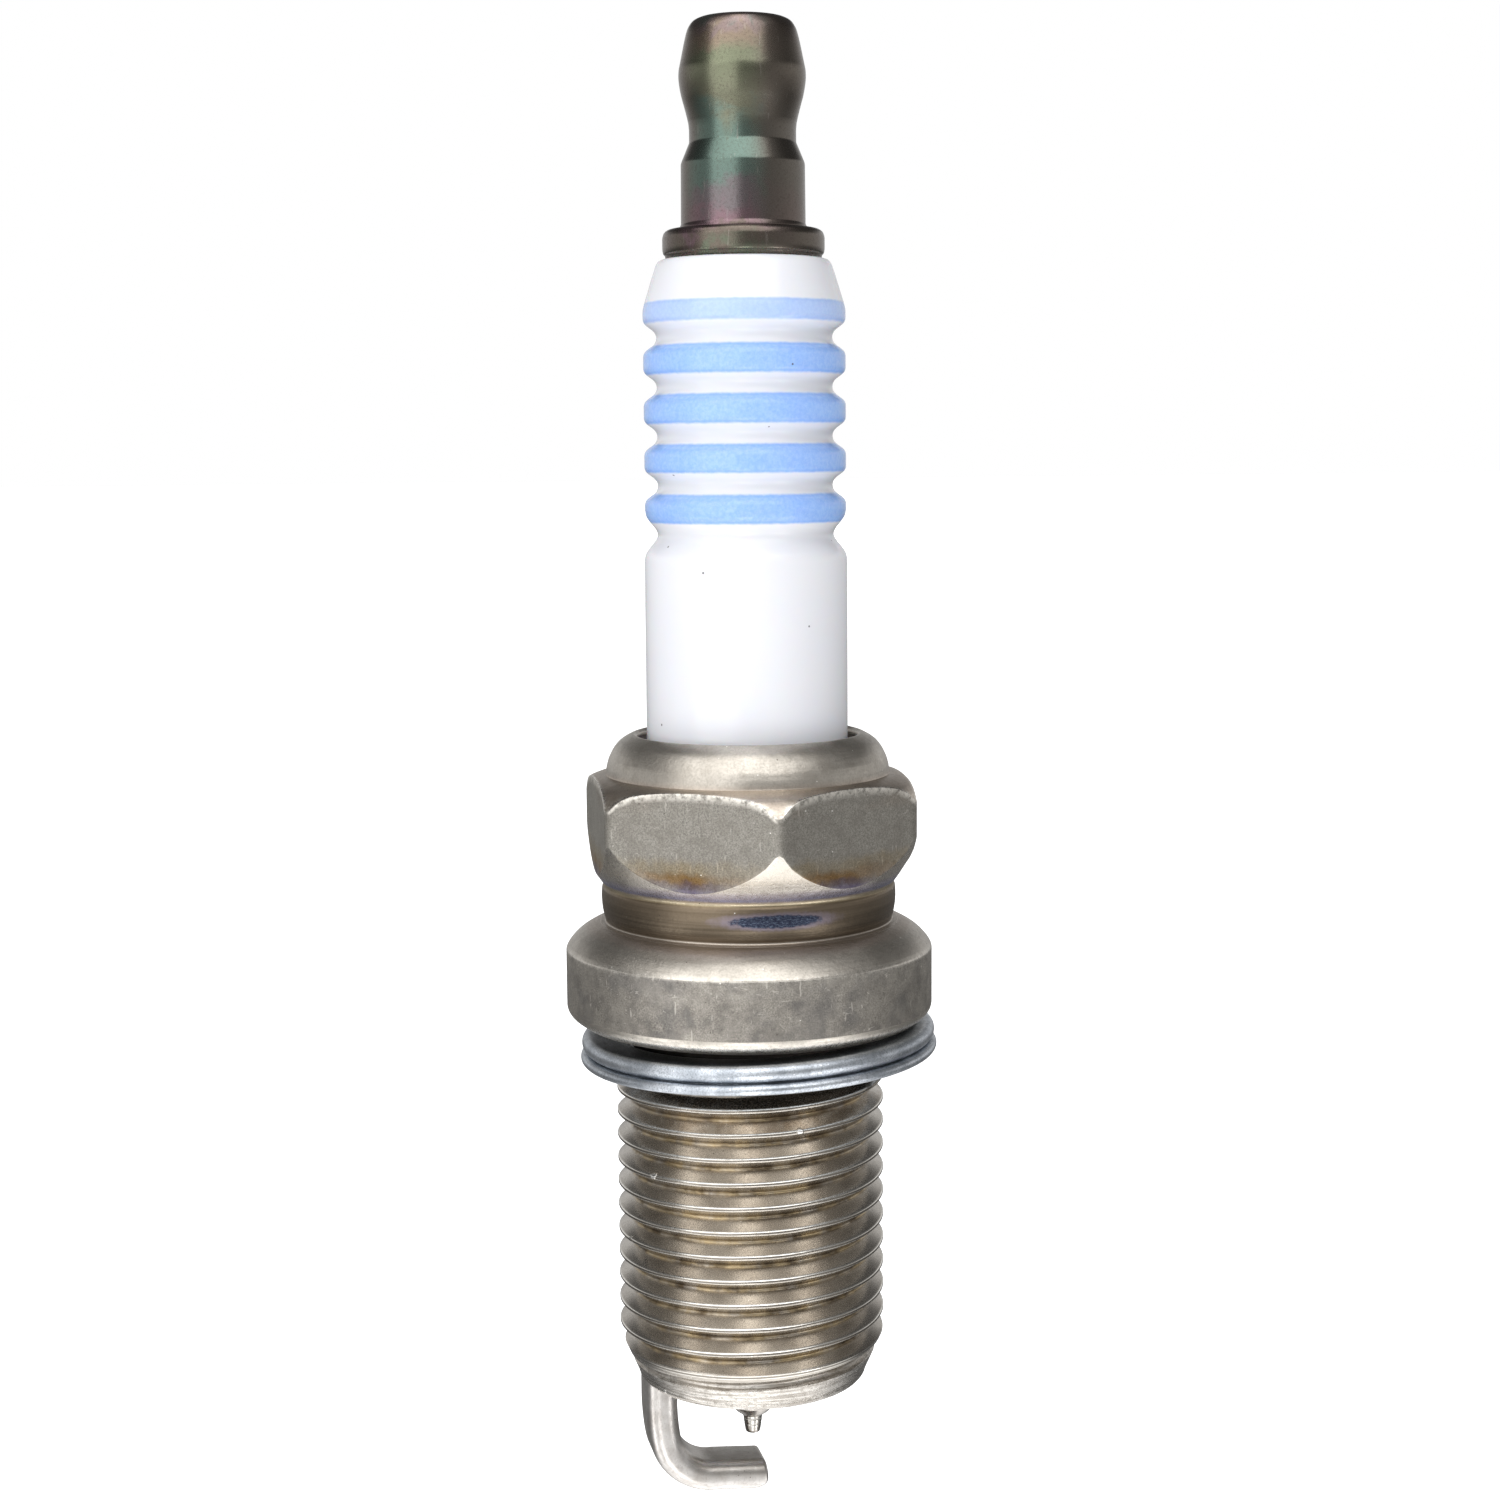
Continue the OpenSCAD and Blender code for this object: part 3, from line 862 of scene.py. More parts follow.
@dataclass(frozen=True)
class GlazedPorcelain:
    """White glazed porcelain with pale-blue fired bands on its ribs.

    Attributes:
        white: Colour of the glaze.
        blue: Colour of the fired bands.
        bands: Lowest and highest height of each band in millimetres.
    """

    white: Colour = (0.79, 0.80, 0.85)
    blue: Colour = (0.27, 0.46, 0.90)
    bands: tuple[tuple[float, float], ...] = ()

    def make(self) -> bpy.types.Material:
        """Builds the material.

        Returns:
            The finished material.
        """
        n = Nodes("glazed_porcelain")
        ragged = n.plus(n.z, n.times(n.less(n.noise(2.2, 4.0, 0.6), 0.5), 0.10))
        painted: object = 0.0
        rim: object = 0.0
        for low, high in self.bands:
            painted = n.most(painted, n.band(ragged, low, high, 0.07))
            for edge in (low + 0.09, high - 0.09):
                rim = n.most(rim, n.band(ragged, edge - 0.05, edge + 0.05, 0.05))
        painted = n.times(painted, n.span(n.z, 35.0, 35.4, 1.0, 0.74))
        depth = n.noise(5.0, 5.0, 0.7)
        blue = n.tone(depth, 0.3, 0.7, self.blue, (0.36, 0.55, 0.94))
        blue = n.over(blue, (0.20, 0.39, 0.86), rim, 0.35)
        base = n.over(self.white, (0.80, 0.805, 0.835), n.span(n.noise(0.5, 3.0, 0.5), 0.3, 0.7), 0.5)
        base = n.mix(painted, base, blue)
        specks = n.most(n.flecks(0.55, 0.026, 0.038), n.spot(-103.5, 5.1, 31.95, 0.085))
        base = n.over(base, (0.10, 0.09, 0.10), specks, 0.85)
        return n.surface(
            Base_Color=base, Roughness=n.span(depth, 0.3, 0.7, 0.13, 0.20),
            Normal=n.bump(n.noise(1.2, 3.0, 0.5), 0.012, 0.25), Specular_IOR_Level=0.45, IOR=1.5,
            Subsurface_Weight=0.12, Subsurface_Scale=0.0012,
        )


@dataclass(frozen=True)
class ElectrodeNickel:
    """Drawn nickel alloy with fine streaks along the wire, browned by the spark gap.

    Attributes:
        name: Name of the material.
        colour: The metal's colour.
        roughness: How dull it is.
    """

    name: str
    colour: Colour = (0.71, 0.685, 0.66)
    roughness: float = 0.31

    def make(self) -> bpy.types.Material:
        """Builds the material.

        Returns:
            The finished material.
        """
        n = Nodes(self.name)
        fine = n.noise(8.0, 4.0, 0.65)
        streaks = n.noise(1.0, 4.0, 0.65, n.stretched(2.0, 9.0, 1.2))
        base = n.tone(n.noise(1.1, 3.0, 0.6), 0.3, 0.7, self.colour, (0.55, 0.52, 0.49))
        base = n.over(base, (0.30, 0.27, 0.24), n.span(fine, 0.5, 0.78), 0.5)
        base = n.over(base, (0.33, 0.30, 0.275), n.span(streaks, 0.52, 0.66), 0.35)
        base = n.over(base, (0.09, 0.075, 0.065), n.flecks(2.0, 0.05, 0.09), 0.7)
        browned = n.times(n.span(n.z, -24.60, -24.20), n.span(n.x, -4.0, -3.2, 0.0, 0.40))
        base = n.over(base, (0.33, 0.30, 0.26), browned)
        rough = n.span(fine, 0.2, 0.8, self.roughness - 0.05, self.roughness + 0.12)
        normal = n.bump(streaks, 0.014, 0.4, n.bump(fine, 0.012, 0.45))
        return n.surface(Base_Color=base, Metallic=1.0, Roughness=rough, Normal=normal)


@dataclass(frozen=True)
class Filler:
    """A filling, seal or core that is hidden inside the plug.

    Attributes:
        name: Name of the material.
        colour: Its colour.
        metallic: One for a metal, nought otherwise.
        roughness: How dull it is.
        grain: Cells of grain to the millimetre.
    """

    name: str
    colour: Colour
    metallic: float = 0.0
    roughness: float = 0.6
    grain: float = 6.0

    def make(self) -> bpy.types.Material:
        """Builds the material.

        Returns:
            The finished material.
        """
        n = Nodes(self.name)
        grain = n.noise(self.grain, 4.0, 0.6)
        base = n.tone(grain, 0.3, 0.7, self.colour, tuple(c * 0.6 for c in self.colour))
        rough = n.span(grain, 0.2, 0.8, self.roughness - 0.08, self.roughness + 0.08)
        normal = n.bump(grain, 0.01, 0.4)
        return n.surface(Base_Color=base, Metallic=self.metallic, Roughness=rough, Normal=normal)


# ---------------------------------------------------------------- helical thread


@dataclass
class HelicalThread:
    """A right-hand screw thread skinned by geometry nodes, its ends run out into plain necks.

    Attributes:
        name: Name of the piece.
        crest_r: Radius over the crests.
        root_r: Radius in the roots.
        pitch: Distance between crests.
        top: Height where the thread gives way to the upper neck.
        top_r: Radius of the upper neck.
        top_lead: Height over which the crest falls to the upper neck.
        bottom: Height where the thread ends.
        bottom_r: Radius at that end.
        bottom_lead: Height over which the crest falls to that end.
        crest_z: Height of a crest on the bearing below.
        bearing: Direction in degrees at which crest_z is given.
        columns: Columns to one turn.
        rows: Rows across one pitch.
        crest_half: Half the crest's width in pitches.
        root_half: Distance from the crest's middle to the root in pitches.
        foot_width: Width of the rounding at a flank's foot in pitches.
        foot_rise: Four times the height of that rounding.
        weld: Distance in metres under which points are merged.
    """

    name: str
    crest_r: float
    root_r: float
    pitch: float
    top: float
    top_r: float
    top_lead: float
    bottom: float
    bottom_r: float
    bottom_lead: float
    crest_z: float
    bearing: float
    columns: int = 120
    rows: int = 26
    crest_half: float = 0.058
    root_half: float = 0.43
    foot_width: float = 0.07
    foot_rise: float = 0.08
    weld: float = 4e-7

    def tree(self, material: bpy.types.Material) -> bpy.types.NodeTree:
        """Builds the node group.

        Args:
            material: Material set on the thread.

        Returns:
            The group, with a named input for each size.
        """
        g = bpy.data.node_groups.new(self.name + "_nodes", "GeometryNodeTree")
        face = g.interface
        face.new_socket("Geometry", in_out="OUTPUT", socket_type="NodeSocketGeometry")
        for key in self.sizes():
            face.new_socket(key, in_out="INPUT", socket_type="NodeSocketFloat")
        face.new_socket("Columns", in_out="INPUT", socket_type="NodeSocketInt")
        face.new_socket("Rows", in_out="INPUT", socket_type="NodeSocketInt")
        given = g.nodes.new("NodeGroupInput")
        done = g.nodes.new("NodeGroupOutput")
        link = g.links.new

        def sum_of(op: str, a: object, b: object = None, c: object = None) -> Socket:
            """Adds one arithmetic step to the group.

            Args:
                op: Name of the operation.
                a: First value, a socket or a constant.
                b: Second value, where the operation takes one.
                c: Third value, where the operation takes one.

            Returns:
                The step's result.
            """
            node = g.nodes.new("ShaderNodeMath")
            node.operation = op
            for socket, value in zip(node.inputs, (a, b, c)):
                if isinstance(value, bpy.types.NodeSocket):
                    link(value, socket)
                elif value is not None:
                    socket.default_value = value
            return node.outputs[0]

        def mapped(value: object, a: object, b: object, c: object, d: object) -> Socket:
            """Maps a value from one range to another, held at its ends.

            Args:
                value: The value.
                a: Where its range starts.
                b: Where its range ends.
                c: Result at the start.
                d: Result at the end.

            Returns:
                The mapped value.
            """
            node = g.nodes.new("ShaderNodeMapRange")
            ends = {"Value": value, "From Min": a, "From Max": b, "To Min": c, "To Max": d}
            for key, item in ends.items():
                if isinstance(item, bpy.types.NodeSocket):
                    link(item, node.inputs[key])
                else:
                    node.inputs[key].default_value = item
            return node.outputs[0]

        size = {key: given.outputs[key] for key in self.sizes()}
        grid = g.nodes.new("GeometryNodeMeshGrid")
        link(size["Turns"], grid.inputs["Size X"])
        grid.inputs["Size Y"].default_value = 1.0
        link(given.outputs["Columns"], grid.inputs["Vertices X"])
        link(given.outputs["Rows"], grid.inputs["Vertices Y"])
        here = g.nodes.new("GeometryNodeInputPosition")
        split = g.nodes.new("ShaderNodeSeparateXYZ")
        link(here.outputs[0], split.inputs[0])
        turn = sum_of("ADD", split.outputs[0], sum_of("MULTIPLY", size["Turns"], 0.5))
        offset = sum_of("ABSOLUTE", split.outputs[1])
        rise = sum_of("ADD", turn, split.outputs[1])
        height = sum_of("MULTIPLY_ADD", rise, size["Pitch"], size["Start height"])
        height = sum_of("MINIMUM", sum_of("MAXIMUM", height, size["Bottom"]), size["Top"])
        crest, root = size["Crest radius"], size["Root radius"]
        radius = mapped(offset, size["Crest half"], size["Root half"], crest, root)
        # a small rounding at the foot of each flank
        foot = mapped(offset, sum_of("SUBTRACT", size["Root half"], self.foot_width), 0.5, 0.0, 1.0)
        hump = sum_of("MULTIPLY", foot, sum_of("SUBTRACT", 1.0, foot))
        radius = sum_of("ADD", radius, sum_of("MULTIPLY", hump, self.foot_rise * MM))
        run_in = sum_of("SUBTRACT", size["Top"], size["Top lead"])
        run_out = sum_of("ADD", size["Bottom"], size["Bottom lead"])
        upper = mapped(height, run_in, size["Top"], crest, size["Top radius"])
        lower = mapped(height, size["Bottom"], run_out, size["Bottom radius"], crest)
        radius = sum_of("MINIMUM", radius, sum_of("MINIMUM", upper, lower))
        angle = sum_of("MULTIPLY_ADD", turn, 2 * math.pi, size["Start angle"])
        place = g.nodes.new("ShaderNodeCombineXYZ")
        link(sum_of("MULTIPLY", radius, sum_of("COSINE", angle)), place.inputs[0])
        link(sum_of("MULTIPLY", radius, sum_of("SINE", angle)), place.inputs[1])
        link(height, place.inputs[2])
        across = g.nodes.new("GeometryNodeStoreNamedAttribute")
        across.data_type, across.domain = "FLOAT", "POINT"
        across.inputs["Name"].default_value = "across"
        link(grid.outputs["Mesh"], across.inputs["Geometry"])
        link(sum_of("MULTIPLY", offset, 2.0), across.inputs["Value"])
        move = g.nodes.new("GeometryNodeSetPosition")
        link(across.outputs[0], move.inputs["Geometry"])
        link(place.outputs[0], move.inputs["Position"])
        merge = g.nodes.new("GeometryNodeMergeByDistance")
        merge.inputs["Distance"].default_value = self.weld
        link(move.outputs[0], merge.inputs["Geometry"])
        real = g.nodes.new("GeometryNodeRealizeInstances")
        link(merge.outputs[0], real.inputs[0])
        paint = g.nodes.new("GeometryNodeSetMaterial")
        paint.inputs["Material"].default_value = material
        link(real.outputs[0], paint.inputs["Geometry"])
        link(paint.outputs[0], done.inputs[0])
        return g

    def sizes(self) -> dict[str, float]:
        """The group's sizes.

        Returns:
            Its named lengths in metres, and its turns, start angle and shares of a pitch.
        """
        low = self.bottom - 1.3 * self.pitch
        turns = math.ceil((self.top - low) / self.pitch + 1.3)
        start = math.radians(self.bearing) + 2 * math.pi * (low - self.crest_z) / self.pitch
        return {
            "Crest radius": self.crest_r * MM, "Root radius": self.root_r * MM,
            "Pitch": self.pitch * MM, "Turns": float(turns),
            "Start height": low * MM, "Start angle": start,
            "Crest half": self.crest_half, "Root half": self.root_half,
            "Top": self.top * MM, "Top radius": self.top_r * MM, "Top lead": self.top_lead * MM,
            "Bottom": self.bottom * MM, "Bottom radius": self.bottom_r * MM,
            "Bottom lead": self.bottom_lead * MM,
        }

    def make(self, material: bpy.types.Material) -> bpy.types.Object:
        """Skins the thread and returns it as a plain mesh.

        Args:
            material: Material of the thread.

        Returns:
            The piece, linked to the scene.
        """
        carrier = bpy.data.objects.new(self.name + "_carrier", bpy.data.meshes.new(self.name + "_seed"))
        bpy.context.scene.collection.objects.link(carrier)
        group = self.tree(material)
        live = carrier.modifiers.new("thread", "NODES")
        live.node_group = group
        values: dict[str, float | int] = dict(self.sizes())
        values["Columns"] = int(values["Turns"]) * self.columns + 1
        values["Rows"] = self.rows + 1
        for item in group.interface.items_tree:
            if item.item_type == "SOCKET" and item.in_out == "INPUT":
                live[item.identifier] = values[item.name]
        bpy.context.view_layer.update()
        graph = bpy.context.evaluated_depsgraph_get()
        mesh = bpy.data.meshes.new_from_object(carrier.evaluated_get(graph))
        bpy.data.objects.remove(carrier)
        mesh.name = self.name
        piece = bpy.data.objects.new(self.name, mesh)
        bpy.context.scene.collection.objects.link(piece)
        self._clean(mesh)
        return piece

    def _clean(self, mesh: bpy.types.Mesh) -> None:
        """Drops the flat rows past the ends, turns the faces outwards and shades them.

        Args:
            mesh: The thread's mesh.
        """
        made = bmesh.new()
        made.from_mesh(mesh)
        bmesh.ops.remove_doubles(made, verts=made.verts, dist=self.weld)
        bmesh.ops.dissolve_degenerate(made, edges=made.edges, dist=2e-8)
        slivers = [f for f in made.faces if f.calc_area() < 1e-14]
        bmesh.ops.delete(made, geom=slivers, context="FACES_ONLY")
        bmesh.ops.recalc_face_normals(made, faces=made.faces)
        middle = max(made.faces, key=lambda f: f.calc_center_median().x)
        if middle.normal.x < 0:
            bmesh.ops.reverse_faces(made, faces=made.faces)
        made.to_mesh(mesh)
        made.free()
        mesh.shade_smooth()
        mesh.set_sharp_from_angle(angle=math.radians(50))


# ---------------------------------------------------------------- sub-assemblies


def dress(
    piece: bpy.types.Object, material: bpy.types.Material, body: str, slot: str, *nodes: str,
) -> bpy.types.Object:
    """Paints a piece, lets it ride, and hides the CAD nodes it stands for.

    Args:
        piece: The finished piece.
        material: Its material.
        body: CAD body it rides on.
        slot: Material slot of the record; not used.
        *nodes: CAD nodes it replaces.

    Returns:
        The piece.
    """
    if not piece.data.materials:
        piece.data.materials.append(material)
    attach(piece, body)
    if nodes:
        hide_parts(*nodes)
    LOG.info("%s: %d faces on body %s", piece.name, len(piece.data.polygons), body)
    return piece


@dataclass
class Shell:
    """Steel shell: rolled lip, hexagon, neck, flange, threaded shank and firing-end bore.

    Attributes:
        apothem: Half the size across the hexagon's flats.
        corner_r: Radius the hexagon's corners are turned to.
        turn: Turn of the hexagon in degrees.
        lip_r: Inner radius of the rolled lip.
        bore_r: Radius of the bore under the lip.
        relief_r: Radius of the plain neck over the thread.
        reach: Depth of the shell's end below the seat.
        mouth_r: Radius of the firing-end bore.
        fillet: Break along the hexagon's upper and lower edges.
        sides_each: Columns to each of the six flats.
        upper_curve: Turned crown over the hexagon, as radius and height.
        lower_curve: Turned foot under it, from the outside in.
    """

    apothem: float = 7.90
    corner_r: float = 9.05
    turn: float = 27.5
    lip_r: float = 5.62
    bore_r: float = 6.0
    relief_r: float = 6.053
    reach: float = 19.05
    mouth_r: float = 4.45
    fillet: float = 0.07
    sides_each: int = 32
    upper_curve: Outline = field(default_factory=lambda: [
        (7.30, 12.80), (7.60, 12.76), (7.94, 12.66), (8.25, 12.54), (8.50, 12.40), (8.64, 12.26),
        (8.77, 12.10), (8.86, 11.94), (8.96, 11.74), (9.04, 11.58), (9.20, 11.2),
    ])
    lower_curve: Outline = field(default_factory=lambda: [
        (9.20, 10.2), (9.04, 9.86), (8.95, 9.62), (8.81, 9.26), (8.62, 8.92), (8.37, 8.50),
        (8.12, 8.12), (7.84, 7.68), (7.54, 7.26),
    ])

    def build(self) -> None:
        """Builds and dresses the shell's pieces."""
        body = dress(self.body(), PlatedShell(Zone.BODY).make(), "plug", "shell_plating", "shell")
        thread_paint = PlatedShell(Zone.THREAD).make()
        thread = HelicalThread(
            "shell_thread", crest_r=6.93, root_r=6.163, pitch=1.25,
            top=-2.62, top_r=self.relief_r, top_lead=0.38,
            bottom=-18.56, bottom_r=6.05, bottom_lead=1.96, crest_z=-4.83, bearing=168.0,
        ).make(thread_paint)
        dress(thread, thread_paint, "plug", "shell_plating", "shell")
        dress(self.end(), thread_paint, "plug", "shell_plating", "shell")
        LOG.info("shell done, body %s", body.name)

    def above(self) -> Outline:
        """Outline from the bore over the lip to the hexagon's upper face.

        Returns:
            The outline.
        """
        lip = self.lip_r
        return [
            (self.bore_r, 11.6), (self.bore_r, 13.5), (5.86, 13.86), (lip, 14.10), (lip, 14.62),
            *flowing([
                (lip + 0.05, 14.74), (lip + 0.2, 14.84), (6.0, 14.80), (6.34, 14.62), (6.61, 14.42),
                (6.80, 14.2), (6.93, 14.0), (7.03, 13.8), (7.12, 13.6), (7.18, 13.4), (7.23, 13.2),
                (7.26, 13.0), (7.28, 12.86),
            ], 4),
        ]

    def below(self) -> Outline:
        """Outline from the hexagon's foot down the neck and flange to the relief.

        Returns:
            The outline.
        """
        r = self.relief_r
        return [
            (7.50, 7.18), (7.50, 7.10), (7.56, 6.98), (7.58, 6.7), (7.585, 6.4), (7.56, 6.05),
            (7.50, 5.68), (7.41, 5.36), (7.385, 5.26), (7.42, 5.20), (7.50, 5.19), (7.66, 5.17),
            (7.70, 5.14),
            *flowing([(7.74, 5.135), (8.0, 5.04), (8.4, 4.84), (8.8, 4.58), (9.1, 4.30), (9.30, 4.06)], 4),
            (9.42, 3.86), (9.45, 3.74), (9.45, 2.6), (9.45, 1.5),
            *flowing([(9.45, 0.86), (9.40, 0.66), (9.25, 0.44), (9.0, 0.24), (8.75, 0.08), (8.6, 0.02)], 4),
            (8.5, 0.0), (6.5, 0.0), (r + 0.08, -0.02), (r, -0.12), (r, -2.62),
        ]

    def limit(self, curve: Outline, radius: float, count: int) -> Outline:
        """Cuts a turned curve off at a radius.

        Args:
            curve: The curve, from the axis side outwards.
            radius: Radius of the hexagon at this column.
            count: Number of points to return.

        Returns:
            Points from the curve's start to that radius.
        """
        pts = np.array(curve)
        order = np.linspace(pts[0, 0], radius, count)
        return [(float(r), float(np.interp(r, pts[:, 0], pts[:, 1]))) for r in order]

    def hex_column(self, delta: float) -> tuple[Outline, list[float], list[float]]:
        """Outline of the hexagon at one column.

        Args:
            delta: Angle in radians from the middle of a flat.

        Returns:
            The outline from top to foot, and how flat and how near an edge each point is.
        """
        raw = self.apothem / math.cos(delta)
        soft, ridge_width = 0.02, 0.55
        r = -soft * math.log(math.exp(-raw / soft) + math.exp(-self.corner_r / soft))
        top = self.limit(self.upper_curve, r, 12)
        low = self.limit(list(reversed(self.lower_curve)), r, 14)[::-1]
        path = rounded([top[-2], (r, top[-1][1]), (r, low[0][1]), low[1]], self.fillet, 3)[1:-1]
        half = len(path) // 2
        wall = [(r, float(z)) for z in np.linspace(path[half - 1][1], path[half][1], 12)[1:-1]]
        outline = top[:-1] + path[:half] + wall + path[half:] + low[1:]
        rest = [0.0] * (len(low) - 1)
        flat = [0.0] * len(top) + [1.0] * (2 * half - 2 + len(wall)) + rest + [0.0]
        edge = [0.0] * (len(top) - 2) + [0.4] + [1.0] * half + [0.0] * len(wall) + [0.12] * half
        edge += rest
        near = abs(abs(math.degrees(delta)) - 30.0)
        ridge = math.exp(-((near / ridge_width) ** 2))
        start = len(top) - 1
        for i in range(start, start + 2 * half + len(wall)):
            edge[i] = max(edge[i] * (1.0 - ridge), ridge * 0.15)
        return outline, flat[: len(outline)], edge[: len(outline)]

    def wear_and_floor_sheen(self, r: float, z: float) -> tuple[float, float, float]:
        """Finish masks of one point of the neck or the flange, with one painted reflection among them.

        Args:
            r: The point's radius.
            z: Its height.

        Returns:
            How far it is flat, rubbed, and part of the flange's worn side; on the lower chamfer the rubbed
            mask is partly a painted reflection of the floor.
        """
        upper_edge, upper_width, lower_edge, lower_width = 3.84, 0.12, 0.40, 0.3
        side = 1.0 if r > 9.43 and 0.85 < z < 3.8 else 0.0
        rub = math.exp(-(((z - upper_edge) / upper_width) ** 2)) * 0.5 if r > 9.2 else 0.0
        # the lower chamfer's mask is partly rubbing and partly a painted reflection of the bright floor below
        foot = math.exp(-(((z - lower_edge) / lower_width) ** 2)) * 0.8 if r > 8.7 and z < 0.8 else 0.0
        return 0.0, max(rub, foot), side

    def body(self) -> bpy.types.Object:
        """Skins the lip, hexagon, neck, flange and relief as one surface.

        Returns:
            The piece, with its finish masks stored on its points.
        """
        upper = rounded(self.above(), 0.06)
        lower = rounded(self.below(), 0.05)
        share = np.linspace(-1, 1, self.sides_each, endpoint=False)
        deltas = np.radians(30.0) * np.sin(share * math.pi / 2) * 0.35 + np.radians(30.0) * share * 0.65
        rings: list[list[tuple[float, float, float]]] = []
        masks: list[list[tuple[float, float, float]]] = []
        for k in range(6):
            for delta in deltas:
                angle = math.radians(self.turn + 30.0 + 60.0 * k) + delta
                middle, flat, edge = self.hex_column(float(delta))
                column = upper + middle + lower
                rings.append([(r * math.cos(angle), r * math.sin(angle), z) for r, z in column])
                mask = [(0.0, 0.0, 0.0)] * len(upper) + [(f, e, 0.0) for f, e in zip(flat, edge)]
                masks.append(mask + [self.wear_and_floor_sheen(r, z) for r, z in lower])
        pts = np.array(rings)
        data = np.array(masks)
        count, tall = pts.shape[:2]
        verts = pts.reshape(-1, 3) * MM
        faces = [
            (i * tall + j, i * tall + j + 1, ((i + 1) % count) * tall + j + 1, ((i + 1) % count) * tall + j)
            for i in range(count) for j in range(tall - 1)
        ]
        mesh = bpy.data.meshes.new("shell_body")
        mesh.from_pydata([tuple(v) for v in verts], [], faces)
        for index, name in enumerate(("flat", "edge", "side")):
            layer = mesh.attributes.new(name, "FLOAT", "POINT")
            layer.data.foreach_set("value", data[:, :, index].reshape(-1).astype(np.float32))
        mesh.flip_normals()
        if self._points_inwards(mesh):
            mesh.flip_normals()
        mesh.shade_smooth()
        mesh.set_sharp_from_angle(angle=math.radians(34))
        piece = bpy.data.objects.new("shell_body", mesh)
        bpy.context.scene.collection.objects.link(piece)
        return piece

    def _points_inwards(self, mesh: bpy.types.Mesh) -> bool:
        """Whether the flange's outermost face looks at the axis."""
        face = max(mesh.polygons, key=lambda f: f.center.x)
        return face.normal.x < 0

    def end(self) -> bpy.types.Object:
        """Turned end of the shank and the firing-end bore.

        Returns:
            The piece.
        """
        m = self.mouth_r
        outline = rounded([
            (6.05, -18.56), (6.02, -18.66), (5.985, -18.69), (5.985, -18.78), (5.95, -18.86),
            (5.80, -19.03), (5.72, -self.reach), (m + 0.25, -self.reach), (m, -self.reach + 0.25),
            (m, -9.6), (4.0, -9.0), (4.0, -7.9), (4.85, -7.2),
        ], 0.05)
        piece = MeshBuilder("shell_end").lathe(outline, 160)
        layer = piece.data.attributes.new("across", "FLOAT", "POINT")
        layer.data.foreach_set("value", np.full(len(piece.data.vertices), 0.35, np.float32))
        return piece


